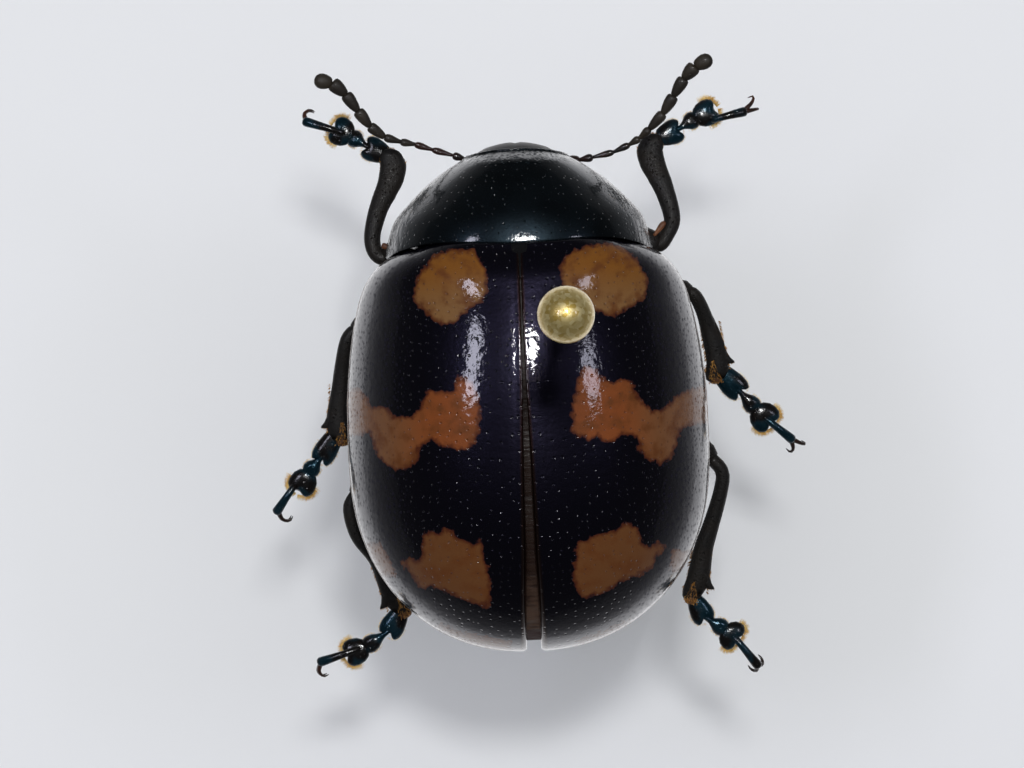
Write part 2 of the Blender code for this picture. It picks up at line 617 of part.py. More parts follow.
def make_leg(parent, leg, coxa, knee, bend, end, joints, claw_tip):
    coxa, knee, bend, end, claw_tip = (Vector(p) * MM for p in (coxa, knee, bend, end, claw_tip))
    joints = [Vector(j) * MM for j in joints]
    side = -1 if knee.x < 0 else 1

    thigh = limb("thigh", femur_knots(coxa, knee), parent)
    combine(thigh, [ellipsoid("coxa", coxa, COXA_RADII, parent, 0.0, 14, 8)], "UNION")
    combine(thigh, [leg_body(leg, parent)], "DIFFERENCE")
    finished(thigh, f"leg_{leg}_femur", "leg_cuticle")

    shin = limb("shin", tibia_knots(knee, bend, end), parent, flat_end=True)
    out = Vector((side, 0, 0))
    along = (end - bend).normalized()
    edge = end - along * 0.25 * MM + out * TIBIA_HALF_WIDTHS[2] * 0.6
    tip = end + out * (TIBIA_HALF_WIDTHS[2] + 0.1 * MM) - along * 0.05 * MM
    spur = limb("spur", [(*edge, 0.16 * MM, 0.16 * MM), (*tip, 0.07 * MM, 0.07 * MM)], parent, sides=8)
    combine(shin, [spur], "UNION")
    combine(shin, [limb("thigh", femur_knots(coxa, knee), parent, GAP)], "DIFFERENCE")
    finished(shin, f"leg_{leg}_tibia", "leg_cuticle")

    first, second, third, last = joints
    start = end - (first - end) * 0.3
    pads = limb("pads", [(*start, TARSUS_NECK, TARSUS_NECK), (*first, TARSUS_PAD, TARSUS_PAD * 0.85),
                         (*((first + second) / 2), TARSUS_NECK, TARSUS_NECK),
                         (*second, TARSUS_PAD * 0.85, TARSUS_PAD * 0.8),
                         (*((second + third) / 2), TARSUS_NECK, TARSUS_NECK),
                         (*third, TARSUS_PAD * 0.8, TARSUS_PAD * 0.8)], parent, sides=8, steps=1)
    heading = (last - third).normalized()
    across = heading.cross(Vector((0, 0, 1))).normalized()
    pieces = [ellipsoid("lobe", third + across * LOBE_SPREAD * turn, LOBE_RADII, parent, 0.0, 9, 7)
              for turn in (-1, 1)]
    pieces.append(limb("claw_joint", [(*third, CLAW_JOINT[0], CLAW_JOINT[0]),
                                      (*last, CLAW_JOINT[1], CLAW_JOINT[1])], parent, sides=8, steps=1))
    reach = claw_tip - last
    curl = (reach - heading * reach.dot(heading)).normalized()
    for turn in (-1, 1):
        spread = heading.cross(curl) * CLAW_SPREAD * turn
        hook = [(*(last + (heading * ahead + curl * down) * MM + spread * aside), radius * MM, radius * MM)
                for ahead, down, aside, radius in CLAW_HOOK]
        pieces.append(limb("claw", hook, parent, sides=6, steps=1))
    combine(pads, pieces, "UNION")
    combine(pads, [limb("shin", tibia_knots(knee, bend, end), parent, GAP, flat_end=True)], "DIFFERENCE")
    finished(pads, f"leg_{leg}_tarsus", "leg_cuticle")


def make_stand(specimen, stand):
    """The insect pin runs down through the right wing case and the thorax into the foam block."""
    block_top = -BODY_ABOVE_BLOCK
    shaft = rod("stand_pin", (PIN_X, PIN_Y), PIN_RADIUS, block_top - PIN_DEPTH,
                PIN_HEAD_Z - PIN_HEAD_RADIUS + PIN_IN_HEAD, specimen)
    finished(shaft, "stand_pin", "pin_steel")
    ball = ellipsoid("ball", Vector((PIN_X, PIN_Y, PIN_HEAD_Z)), Vector((1, 1, 1)) * PIN_HEAD_RADIUS,
                     specimen, 0.0, 18, 12)
    socket = rod("socket", (PIN_X, PIN_Y), PIN_RADIUS + CLEAR / 2, PIN_HEAD_Z - 2 * PIN_HEAD_RADIUS,
                 PIN_HEAD_Z - PIN_HEAD_RADIUS + PIN_IN_HEAD + CLEAR, specimen)
    combine(ball, [socket], "DIFFERENCE")
    finished(ball, "stand_pin_head", "pin_ball")

    outline = []
    for i in range(40):
        a = 2 * math.pi * i / 40
        c, s = math.cos(a), math.sin(a)
        x = BLOCK_HALF_WIDTH * math.copysign(abs(c) ** (2 / BLOCK_SQUARENESS), c)
        y = BLOCK_HALF_LENGTH * math.copysign(abs(s) ** (2 / BLOCK_SQUARENESS), s)
        outline.append((x, y))
    edge = 0.25 * MM
    rings = [[Vector((x * share, y * share, z)) for x, y in outline]
             for share, z in ((0.96, 0.0), (1.0, edge), (1.0, BLOCK_HEIGHT - edge), (0.96, BLOCK_HEIGHT))]
    block = made_object("block", skinned(rings), stand)
    hole = rod("hole", (PIN_X, PIN_Y + BODY_FORWARD), PIN_RADIUS + CLEAR,
               BLOCK_HEIGHT - PIN_DEPTH - GAP, BLOCK_HEIGHT + 1 * MM, stand)
    combine(block, [hole], "DIFFERENCE")
    finished(block, "stand_base", "foam_white")


def main():
    clear_scene()
    stand = carrier("stand", (0, 0, 0))
    specimen = carrier("specimen", (0, BODY_FORWARD, BLOCK_HEIGHT + BODY_ABOVE_BLOCK))
    make_stand(specimen, stand)
    make_elytra(specimen)
    make_pronotum(specimen)
    make_prosternum(specimen)
    make_trunk(specimen)
    make_head(specimen)
    make_mouthparts(specimen)
    make_antenna(specimen, "antenna_left", ANTENNA_LEFT)
    make_antenna(specimen, "antenna_right", ANTENNA_RIGHT)
    for leg, places in LEGS.items():
        make_leg(specimen, leg, *places)


main()
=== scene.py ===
# %% [markdown]
# A leaf beetle, pinned and dried, life size: a glossy violet-black dome twelve millimetres long, with
# three orange patches on each wing case, beaded feelers, six jointed legs and the gold ball of its pin.
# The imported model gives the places, and everything here is modelled over it at the same places.
# Lengths in this lesson are in millimetres on the specimen: x to its right, y towards its head and z up,
# counted from the seam between neck shield and wing cases at the height of the widest line. A piece is
# scaled down to metres and set in place only when it is finished, because round numbers are easy to read.

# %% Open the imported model
import math
import random
import bpy
import bmesh
import numpy as np
from mathutils import Matrix, Vector, noise


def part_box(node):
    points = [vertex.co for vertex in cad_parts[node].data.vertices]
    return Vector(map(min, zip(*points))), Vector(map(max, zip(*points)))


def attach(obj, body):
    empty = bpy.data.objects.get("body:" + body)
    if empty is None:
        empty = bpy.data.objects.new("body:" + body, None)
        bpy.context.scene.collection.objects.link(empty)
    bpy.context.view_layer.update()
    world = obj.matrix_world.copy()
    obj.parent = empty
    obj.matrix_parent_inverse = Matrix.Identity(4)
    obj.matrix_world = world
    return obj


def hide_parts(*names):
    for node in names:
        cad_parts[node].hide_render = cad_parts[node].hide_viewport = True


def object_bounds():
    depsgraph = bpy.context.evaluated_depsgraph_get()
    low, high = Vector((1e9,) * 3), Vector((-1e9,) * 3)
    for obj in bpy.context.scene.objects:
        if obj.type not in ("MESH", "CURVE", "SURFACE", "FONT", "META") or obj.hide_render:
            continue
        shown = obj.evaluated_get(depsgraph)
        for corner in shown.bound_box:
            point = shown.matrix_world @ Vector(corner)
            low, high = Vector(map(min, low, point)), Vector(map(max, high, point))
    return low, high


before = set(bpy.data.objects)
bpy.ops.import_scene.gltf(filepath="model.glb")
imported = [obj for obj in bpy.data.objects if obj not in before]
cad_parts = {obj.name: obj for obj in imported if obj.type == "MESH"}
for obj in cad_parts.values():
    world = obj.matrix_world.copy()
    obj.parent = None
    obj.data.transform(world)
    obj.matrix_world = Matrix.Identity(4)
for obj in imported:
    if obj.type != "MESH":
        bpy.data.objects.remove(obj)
solid_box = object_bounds()
MM = 0.001
SEAM = Vector((0.0, 0.0039, 0.0105))
random.seed(12)
print("nodes:", len(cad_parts), "box:", [tuple(round(v, 4) for v in corner) for corner in solid_box])

# %% [markdown]
# The picture is taken from straight above, from close by, so the tall pin ball shifts a little outwards.
# The frame is 24.4 mm wide at the widest line of the body. A long lens at 150 mm gives that, and the
# camera is turned two degrees because the specimen lies slightly askew.

# %% Set the camera above the specimen
VIEW_HEIGHT = 150.0
VIEW_WIDTH = 24.41
VIEW_MIDDLE = (-0.287, -3.353)
lens = bpy.data.cameras.new("camera")
lens.sensor_width = 36.0
lens.lens = 36.0 * VIEW_HEIGHT / VIEW_WIDTH
lens.clip_start, lens.clip_end = 0.005, 10.0
camera = bpy.data.objects.new("camera", lens)
camera.location = SEAM + Vector((VIEW_MIDDLE[0], VIEW_MIDDLE[1], VIEW_HEIGHT)) * MM
camera.rotation_euler = (0.0, 0.0, -0.0377)
bpy.context.scene.collection.objects.link(camera)
bpy.context.scene.camera = camera
bpy.context.scene.view_settings.view_transform = "Standard"
print("lens:", round(lens.lens, 1), "mm")

# %% [markdown]
# A shiny black shell shows little of its own colour: it shows what it mirrors. The middle of the dome
# mirrors what is above it, so only three lamps can be seen in it: a small bright one a little ahead,
# which makes the white glints beside the slit, and a dim panel on each side, which the crinkled shell
# breaks up into glitter. A wide fill panel lights the floor. Mirror rays find neither that panel nor the
# floor, but a room that is pale low down, which the flanks mirror, and nearly black overhead.

# %% Light the specimen
LAMP_DISTANCE = 0.30


def lamp(name, sideways, ahead, size, power, colour=(1, 1, 1), mirrored=True):
    away = Vector((math.tan(math.radians(sideways)), math.tan(math.radians(ahead)), 1.0)).normalized()
    light = bpy.data.lights.new(name, "AREA")
    light.shape = "RECTANGLE"
    light.size, light.size_y = size
    light.energy = power
    light.color = colour
    holder = bpy.data.objects.new(name, light)
    holder.location = SEAM + Vector((0.0, -3.5, 0.0)) * MM + away * LAMP_DISTANCE
    holder.rotation_euler = away.to_track_quat("Z", "Y").to_euler()
    holder.visible_glossy = mirrored
    bpy.context.scene.collection.objects.link(holder)
    return holder


lamps = [
    lamp("key_lamp", 3, 12.5, (0.036, 0.026), 0.30),
    lamp("left_panel", -30, 12.0, (0.080, 0.036), 0.095, (0.84, 0.84, 1.0)),
    lamp("right_panel", 38, 9.5, (0.06, 0.034), 0.045, (0.84, 0.84, 1.0)),
    lamp("fill_panel", 0, 14, (0.42, 0.36), 0.41, mirrored=False),
]
print("lamps:", [holder.name for holder in lamps])

# %% Surround it with a room, pale for the floor and dim for a mirror
room = bpy.data.worlds.new("room")
room.use_nodes = True
bpy.context.scene.world = room
wires, parts = room.node_tree.links, room.node_tree.nodes
direction = parts.new("ShaderNodeTexCoord")
split = parts.new("ShaderNodeSeparateXYZ")
fade = parts.new("ShaderNodeValToRGB")
ramp = fade.color_ramp.elements
for position, grey in ((0.185, 0.78), (0.22, 0.36), (0.30, 0.21), (0.40, 0.14), (0.49, 0.10), (0.53, 0.045), (0.70, 0.025)):
    ramp.new(position).color = (grey, grey, grey * 1.04, 1)
ramp[0].color, ramp[-1].color = (0.92, 0.92, 0.94, 1), (0.008, 0.008, 0.009, 1)
half = parts.new("ShaderNodeMapRange")
half.inputs["From Min"].default_value = -1.0
ray = parts.new("ShaderNodeLightPath")
choice = parts.new("ShaderNodeMix")
choice.data_type = "RGBA"
choice.inputs[6].default_value = (0.32, 0.325, 0.335, 1)
wires.new(direction.outputs["Generated"], split.inputs[0])
wires.new(split.outputs["Z"], half.inputs["Value"])
wires.new(half.outputs[0], fade.inputs[0])
wires.new(ray.outputs["Is Glossy Ray"], choice.inputs[0])
wires.new(fade.outputs[0], choice.inputs[7])
wires.new(choice.outputs[2], parts["Background"].inputs["Color"])
print("room ready")

# %% [markdown]
# Every finish is a small graph of nodes. Writing each node by hand takes three lines, so these helpers
# add a node, set its values and wire its inputs in one call. Patterns read Object coordinates, turned
# into the specimen's millimetres, so that a spot size in a graph is a size on the beetle.

# %% Add and wire a node in one call
def add(finish, kind, values=None, **settings):
    made = finish.node_tree.nodes.new(kind)
    for name, value in settings.items():
        setattr(made, name, value)
    for name, value in (values or {}).items():
        if isinstance(value, bpy.types.NodeSocket):
            finish.node_tree.links.new(value, made.inputs[name])
        else:
            made.inputs[name].default_value = value
    return made


def new_finish(name, values):
    finish = bpy.data.materials.new(name)
    finish.use_nodes = True
    finish.node_tree.nodes.clear()
    shader = add(finish, "ShaderNodeBsdfPrincipled", values)
    add(finish, "ShaderNodeOutputMaterial", {"Surface": shader.outputs[0]})
    return finish, shader


def wire(finish, socket, target):
    finish.node_tree.links.new(socket, target)


# %% Name the steps that most finishes share
def specimen_place(finish):
    place = add(finish, "ShaderNodeTexCoord").outputs["Object"]
    shift = tuple(-value / MM for value in SEAM)
    return add(finish, "ShaderNodeMapping", {"Vector": place, "Scale": (1000,) * 3, "Location": shift}).outputs[0]


def calc(finish, operation, a, b=0.0, clamp=False):
    return add(finish, "ShaderNodeMath", {0: a, 1: b}, operation=operation, use_clamp=clamp).outputs[0]


def step(finish, value, low, high, to_low=0.0, to_high=1.0):
    values = {"Value": value, "From Min": low, "From Max": high, "To Min": to_low, "To Max": to_high}
    return add(finish, "ShaderNodeMapRange", values, interpolation_type="SMOOTHSTEP").outputs[0]


def mix(finish, share, a, b):
    made = add(finish, "ShaderNodeMix", data_type="RGBA")
    for socket, value in ((made.inputs[0], share), (made.inputs[6], a), (made.inputs[7], b)):
        if isinstance(value, bpy.types.NodeSocket):
            wire(finish, value, socket)
        else:
            socket.default_value = (*value, 1.0) if hasattr(value, "__len__") else value
    return made.outputs[2]


def grain(finish, place, scale, detail=2.0):
    return add(finish, "ShaderNodeTexNoise", {"Vector": place, "Scale": scale, "Detail": detail}).outputs[0]


def relief(finish, shader, height, depth, under=None):
    values = {"Height": height, "Distance": depth * MM, "Strength": 1.0}
    if under is not None:
        values["Normal"] = under
    made = add(finish, "ShaderNodeBump", values).outputs[0]
    wire(finish, made, shader.inputs["Normal"])
    wire(finish, made, shader.inputs["Coat Normal"])
    return made


print("node helpers ready")

# %% [markdown]
# A beetle's shell is pricked all over with tiny pits. A Voronoi texture scatters one point in every cell
# of a grid. The distance from that point, measured in millimetres, is cut off at the pit's radius. Two
# numbers of each cell's own random colour then make some pits smaller and leave others out. On the wing
# cases the cells are longer than wide, so the pits stand in loose rows.

# %% Scatter pits over a shell
def pits(finish, place, cell, radius, missing=0.15, wander=0.8, on_shell=False):
    shrink = tuple(1.0 / size for size in cell)
    scaled = add(finish, "ShaderNodeVectorMath", {0: place, 1: shrink}, operation="MULTIPLY").outputs[0]
    cells = add(finish, "ShaderNodeTexVoronoi", {"Vector": scaled, "Scale": 1.0, "Randomness": wander},
                voronoi_dimensions="2D" if on_shell else "3D")
    away = add(finish, "ShaderNodeVectorMath", {0: scaled, 1: cells.outputs["Position"]}, operation="SUBTRACT")
    true = add(finish, "ShaderNodeVectorMath", {0: away.outputs[0], 1: cell}, operation="MULTIPLY").outputs[0]
    reach = add(finish, "ShaderNodeVectorMath", {0: true}, operation="LENGTH").outputs["Value"]
    chance = add(finish, "ShaderNodeSeparateColor", {0: cells.outputs["Color"]})
    size = step(finish, chance.outputs[1], 0.0, 1.0, radius * 0.65, radius * 1.1)
    inside = step(finish, calc(finish, "DIVIDE", reach, size), 0.25, 1.0, 1.0, 0.0)
    return calc(finish, "MULTIPLY", inside, calc(finish, "GREATER_THAN", chance.outputs[0], missing))


def shell_place(finish):
    across = add(finish, "ShaderNodeAttribute", attribute_name="across").outputs["Fac"]
    along = add(finish, "ShaderNodeAttribute", attribute_name="along").outputs["Fac"]
    return add(finish, "ShaderNodeCombineXYZ", {0: across, 1: along}).outputs[0], across, along


print("pit pattern ready")

# %% [markdown]
# The wing cases' ground colour is nearly black with a violet-blue metallic gleam under a clear glossy
# layer. The patches are not painted on: the shell is clear there and lets its orange-brown inside
# show. Each vertex carries its distance to the nearest patch outline, positive inside, and the graph
# turns that number, roughened with noise, into a ragged edge with a dark red-brown border.

# %% Finish of the wing cases
def wing_case_finish():
    finish, shader = new_finish("wing_case_shell", {"Coat Roughness": 0.05, "Specular IOR Level": 0.12})
    place = specimen_place(finish)
    flat, across, along = shell_place(finish)
    patch = add(finish, "ShaderNodeAttribute", attribute_name="patch").outputs["Fac"]
    rim = add(finish, "ShaderNodeAttribute", attribute_name="rim").outputs["Fac"]
    ragged = calc(finish, "MULTIPLY", calc(finish, "SUBTRACT", grain(finish, flat, 6.0, 4.0), 0.5), 0.26)
    edge = calc(finish, "ADD", patch, ragged)
    inside = step(finish, edge, -0.02, 0.03)
    deep = step(finish, edge, 0.0, 0.14)
    split = add(finish, "ShaderNodeSeparateXYZ", {0: place})
    side = calc(finish, "ABSOLUTE", split.outputs[0])
    front = step(finish, split.outputs[1], -1.6, -0.6)
    rear = step(finish, split.outputs[1], -5.6, -6.6)
    middle = mix(finish, step(finish, side, 2.1, 3.3), (0.17, 0.045, 0.010), (0.135, 0.055, 0.020))
    # Behind y = -0.6 the front patches turn a paler tan: partly their own colour, partly a painted sheen.
    ochre_and_painted_sheen = mix(finish, front, (0.16, 0.080, 0.028), (0.155, 0.058, 0.008))
    colour = mix(finish, step(finish, split.outputs[1], -3.2, -2.6), middle, ochre_and_painted_sheen)
    colour = mix(finish, rear, colour, (0.105, 0.040, 0.012))
    colour = mix(finish, step(finish, grain(finish, flat, 2.2, 3.0), 0.42, 0.72), colour, (0.095, 0.030, 0.007))
    colour = mix(finish, deep, (0.05, 0.010, 0.003), colour)
    pit = pits(finish, flat, (0.25, 0.20, 1.0), 0.040, missing=0.2, on_shell=True)
    # Inside the patches the pits are painted a darker brown: painted shade in their hollows.
    colour = mix(finish, calc(finish, "MULTIPLY", pit, 0.45), colour, (0.05, 0.015, 0.006))
    ground = mix(finish, step(finish, across, 0.42, 0.34), (0.0085, 0.0075, 0.0155), (0.024, 0.011, 0.008))
    ground = mix(finish, step(finish, rim, 0.955, 0.995), ground, (0.10, 0.065, 0.045))
    wire(finish, mix(finish, inside, ground, colour), shader.inputs["Base Color"])
    flank = step(finish, rim, 0.42, 0.58)
    dark_pit = calc(finish, "MULTIPLY", pits(finish, flat, (0.17, 0.145, 1.0), 0.052, 0.15, 0.9, True), flank)
    clear = calc(finish, "SUBTRACT", 1.0, calc(finish, "MULTIPLY", dark_pit, 0.96))
    wire(finish, clear, shader.inputs["Coat Weight"])
    wire(finish, calc(finish, "MULTIPLY", step(finish, inside, 0.0, 1.0, 0.9, 0.0), clear), shader.inputs["Metallic"])
    wire(finish, step(finish, inside, 0.0, 1.0, 0.33, 0.40), shader.inputs["Roughness"])
    crinkle = calc(finish, "ADD", grain(finish, flat, 7.0, 3.0), calc(finish, "MULTIPLY", grain(finish, flat, 2.2, 1.0), 0.6))
    shallow = calc(finish, "MULTIPLY", pit, calc(finish, "SUBTRACT", 0.38, calc(finish, "MULTIPLY", flank, 0.38)))
    height = calc(finish, "SUBTRACT", calc(finish, "MULTIPLY", crinkle, 0.24), shallow)
    relief(finish, shader, height, 0.024)
    return finish


WING_CASE = wing_case_finish()
print("finish:", WING_CASE.name)

# %% [markdown]
# Head, neck shield and scutellum are black with a green-blue gleam, smoother in the middle, and pricked
# with finer, closer pits that grow coarser towards the sides.

# %% Finish of the neck shield and head
def black_shell_finish(name, colour, cell, radius, depth, gloss=0.06, gleam=0.4, on_shell=False):
    dull = gloss > 0.3
    finish, shader = new_finish(name, {"Coat Weight": 0.12 if dull else 1.0, "Coat Roughness": gloss, "Roughness": 0.33,
                                       "Specular IOR Level": 0.08 if dull else 0.2, "Metallic": gleam})
    place = specimen_place(finish)
    tone = mix(finish, step(finish, grain(finish, place, 1.1), 0.35, 0.7), colour, tuple(c * 0.6 for c in colour))
    wire(finish, tone, shader.inputs["Base Color"])
    rough = calc(finish, "MULTIPLY", grain(finish, place, 14.0, 3.0), 0.12)
    if on_shell:
        flat = shell_place(finish)[0]
        rim = add(finish, "ShaderNodeAttribute", attribute_name="rim").outputs["Fac"]
        coarse = calc(finish, "MULTIPLY", pits(finish, flat, (0.17, 0.15, 1.0), 0.050, 0.1, 1.0, True), step(finish, rim, 0.5, 0.7))
        fine_pits = calc(finish, "MULTIPLY", pits(finish, flat, cell, radius, 0.2, 1.0, True), 0.42)
        pit = calc(finish, "MAXIMUM", calc(finish, "MULTIPLY", coarse, 0.3), fine_pits)
        clear = step(finish, coarse, 0.0, 1.0, 1.0, 0.05)
        wire(finish, clear, shader.inputs["Coat Weight"])
        wire(finish, calc(finish, "MULTIPLY", clear, gleam), shader.inputs["Metallic"])
        drawn = add(finish, "ShaderNodeMapping", {"Vector": flat, "Scale": (2.4, 1.0, 1.0)}).outputs[0]
        wrinkle = calc(finish, "MULTIPLY", grain(finish, drawn, 2.2, 3.0), step(finish, rim, 0.55, 0.8, 0.05, 3.0))
        rough = calc(finish, "ADD", rough, wrinkle)
    else:
        pit = pits(finish, place, cell, radius, missing=0.05, wander=1.0)
    relief(finish, shader, calc(finish, "SUBTRACT", rough, pit), depth)
    return finish


SHIELD = black_shell_finish("neck_shield_shell", (0.009, 0.015, 0.020), (0.24, 0.22, 1.0), 0.028, 0.020, 0.05, 0.9, on_shell=True)
HEAD_SHELL = black_shell_finish("head_shell", (0.0055, 0.0055, 0.0065), (0.11, 0.11, 0.11), 0.035, 0.020, 0.52, 0.1)
BELLY = black_shell_finish("belly_shell", (0.008, 0.007, 0.010), (0.15, 0.15, 0.15), 0.045, 0.012, 0.15)
print("finishes:", SHIELD.name, HEAD_SHELL.name, BELLY.name)

# %% [markdown]
# Legs are black with a steel-blue gleam, strongest on the foot joints. Claws and the ends of thin joints
# let red-brown through. The feelers' last five beads are matt, dark olive brown and finely downy.

# %% Finishes of legs, claws and feelers
def limb_finish(name, colour, glint, gleam, gloss, rough, fine=0.006):
    finish, shader = new_finish(name, {"Coat Weight": gloss, "Coat Roughness": 0.10, "Roughness": rough})
    place = specimen_place(finish)
    sheen = step(finish, grain(finish, place, 1.6, 2.0), 0.42, 0.62)
    wire(finish, mix(finish, sheen, colour, glint), shader.inputs["Base Color"])
    wire(finish, calc(finish, "MULTIPLY", sheen, gleam), shader.inputs["Metallic"])
    speck = pits(finish, place, (0.10, 0.10, 0.10), 0.032, missing=0.1, wander=1.0)
    rough_skin = calc(finish, "MULTIPLY", grain(finish, place, 22.0, 3.0), 0.5)
    relief(finish, shader, calc(finish, "SUBTRACT", rough_skin, speck), fine)
    return finish


LEG = limb_finish("leg_shell", (0.0045, 0.0036, 0.0030), (0.010, 0.0075, 0.0055), 0.2, 0.12, 0.6, 0.030)
FOOT = limb_finish("foot_shell", (0.0040, 0.0034, 0.0034), (0.010, 0.040, 0.060), 0.8, 0.5, 0.22, 0.008)
CLAW = limb_finish("claw_horn", (0.014, 0.006, 0.004), (0.05, 0.016, 0.008), 0.0, 0.6, 0.35, 0.002)
FEELER = limb_finish("feeler_shell", (0.013, 0.0095, 0.0065), (0.024, 0.018, 0.011), 0.0, 0.15, 0.55, 0.008)
PAD = limb_finish("hairy_pad", (0.07, 0.026, 0.006), (0.24, 0.105, 0.020), 0.0, 0.1, 0.6, 0.010)
KNEE_SKIN = limb_finish("knee_skin", (0.09, 0.030, 0.012), (0.20, 0.075, 0.028), 0.0, 0.3, 0.5, 0.010)
FEELER_ROOT = limb_finish("feeler_root_shell", (0.022, 0.0075, 0.005), (0.010, 0.0085, 0.008), 0.0, 0.8, 0.3, 0.003)
EYE_SHELL = limb_finish("eye_facets", (0.004, 0.0035, 0.003), (0.010, 0.008, 0.007), 0.2, 1.0, 0.2, 0.004)
print("finishes:", LEG.name, FOOT.name, CLAW.name, FEELER.name)

# %% [markdown]
# The hairs on the feet and shins are golden and let light through, which is why they glow against the
# pale floor. The folded flight wings that show in the slit are thin brown film over the soft back.

# %% Finishes of hairs, flight wings and lips
def hair_finish(name, tip, root):
    finish, shader = new_finish(name, {"Roughness": 0.45, "Subsurface Weight": 0.0})
    place = specimen_place(finish)
    wire(finish, mix(finish, step(finish, grain(finish, place, 2.5), 0.4, 0.6), tip, root), shader.inputs["Base Color"])
    return finish


def wing_film_finish():
    finish, shader = new_finish("folded_wing_film", {"Coat Weight": 0.12, "Coat Roughness": 0.3, "Roughness": 0.5, "Specular IOR Level": 0.2})
    place = specimen_place(finish)
    fold = grain(finish, add(finish, "ShaderNodeMapping", {"Vector": place, "Scale": (1.3, 6.0, 1.0)}).outputs[0], 1.6, 3.0)
    rear = step(finish, add(finish, "ShaderNodeSeparateXYZ", {0: place}).outputs[1], -7.4, -9.0)
    film = mix(finish, rear, (0.018, 0.0085, 0.0055), (0.070, 0.040, 0.026))
    # The film is painted darker where the fold pattern is low, in the hollows of the folds: painted shade.
    film = mix(finish, step(finish, fold, 0.30, 0.60), (0.014, 0.006, 0.004), film)
    end = step(finish, add(finish, "ShaderNodeSeparateXYZ", {0: place}).outputs[1], -9.14, -9.20)
    wire(finish, mix(finish, end, film, (0.030, 0.007, 0.004)), shader.inputs["Base Color"])
    relief(finish, shader, fold, 0.03)
    return finish


GOLD_HAIR = hair_finish("golden_hair", (0.88, 0.64, 0.24), (0.74, 0.46, 0.12))
BROWN_HAIR = hair_finish("brown_hair", (0.50, 0.25, 0.05), (0.34, 0.15, 0.025))
WING_FILM = wing_film_finish()
print("finishes:", GOLD_HAIR.name, BROWN_HAIR.name, WING_FILM.name)

# %% [markdown]
# Pieces are built as a bmesh in millimetres. This helper scales one down, moves it to its place, makes
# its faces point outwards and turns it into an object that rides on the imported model's one body.

# %% Turn a bmesh into a finished piece
def finished(bm, name, finishes, stands_for=(), join=0.0005):
    bmesh.ops.remove_doubles(bm, verts=bm.verts, dist=join)
    bmesh.ops.recalc_face_normals(bm, faces=bm.faces)
    bmesh.ops.scale(bm, vec=(MM, MM, MM), verts=bm.verts)
    bmesh.ops.translate(bm, vec=SEAM, verts=bm.verts)
    mesh = bpy.data.meshes.new(name)
    bm.to_mesh(mesh)
    bm.free()
    mesh.shade_smooth()
    made = bpy.data.objects.new(name, mesh)
    bpy.context.scene.collection.objects.link(made)
    for finish in finishes if isinstance(finishes, (list, tuple)) else [finishes]:
        mesh.materials.append(finish)
    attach(made, "root")
    if stands_for:
        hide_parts(*stands_for)
    print(f"{name}: {len(mesh.polygons)} faces")
    return made


# %% [markdown]
# Legs, feelers, palps and claws are all limbs: a row of rings along a line, each ring an ellipse with its
# own half width and half thickness. The first ring is a circle, and each next one is extruded from it
# and carried to its place by one matrix. Turning each ring's frame as little as possible from the last
# keeps the limb from twisting. The two end rings are merged to a point, so a limb is closed.

# %% Loft a limb through rings
def ring_matrix(centre, along, up, half_width, half_thickness):
    side = along.cross(up).normalized()
    columns = (side * half_width, side.cross(along) * half_thickness, along, centre)
    return Matrix([[column[row] for column in columns] for row in range(3)] + [[0, 0, 0, 1]])


def limb(bm, stations, sides=14, up=(0, 0, 1), finish=0):
    points = [Vector(station[0]) for station in stations]
    up, last_frame, ring, caps = Vector(up), None, [], []
    for number, (point, half_width, half_thickness) in enumerate(stations):
        along = (points[min(number + 1, len(points) - 1)] - points[max(number - 1, 0)]).normalized()
        up = (up - along * up.dot(along)).normalized()
        now = ring_matrix(Vector(point), along, up, max(half_width, 1e-3), max(half_thickness, 1e-3))
        if last_frame is None:
            ring = bmesh.ops.create_circle(bm, segments=sides, radius=1.0, matrix=now)["verts"]
            caps.append((ring, Vector(point)))
        else:
            held = set(ring)
            rim = [edge for edge in {e for v in ring for e in v.link_edges} if edge.other_vert(edge.verts[0]) in held and edge.verts[0] in held]
            grown = bmesh.ops.extrude_edge_only(bm, edges=rim)["geom"]
            ring = [part for part in grown if isinstance(part, bmesh.types.BMVert)]
            for part in grown:
                if isinstance(part, bmesh.types.BMFace):
                    part.material_index = finish
            bmesh.ops.transform(bm, matrix=now @ last_frame.inverted(), verts=ring)
        last_frame = now
    for cap, centre in (caps[0], (ring, points[-1])):
        bmesh.ops.pointmerge(bm, verts=cap, merge_co=centre)


def along_line(points, shares):
    """Points on a smooth curve through the given ones, at the given shares of its length."""
    knots = [Vector(p) for p in points]
    dense = []
    for number in range(len(knots) - 1):
        before, a = knots[max(number - 1, 0)], knots[number]
        b, after = knots[number + 1], knots[min(number + 2, len(knots) - 1)]
        for fraction in np.linspace(0, 1, 16, endpoint=False):
            t = float(fraction)
            dense.append(0.5 * ((2 * a) + (b - before) * t + (2 * before - 5 * a + 4 * b - after) * t * t
                                + (3 * a - before - 3 * b + after) * t ** 3))
    dense.append(knots[-1])
    reach = np.concatenate([[0], np.cumsum([(q - p).length for p, q in zip(dense, dense[1:])])])
    table = np.array(dense)
    return [Vector([float(np.interp(share * reach[-1], reach, table[:, axis])) for axis in range(3)]) for share in shares]


print("limb helper ready")

# %% [markdown]
# A shell plate such as a wing case or the neck shield is a grid laid over rows and columns of computed
# points. Each vertex also keeps its distance across and along the shell, measured on the shell itself, so
# that pits neither stretch on the steep flanks nor crowd at the tip.

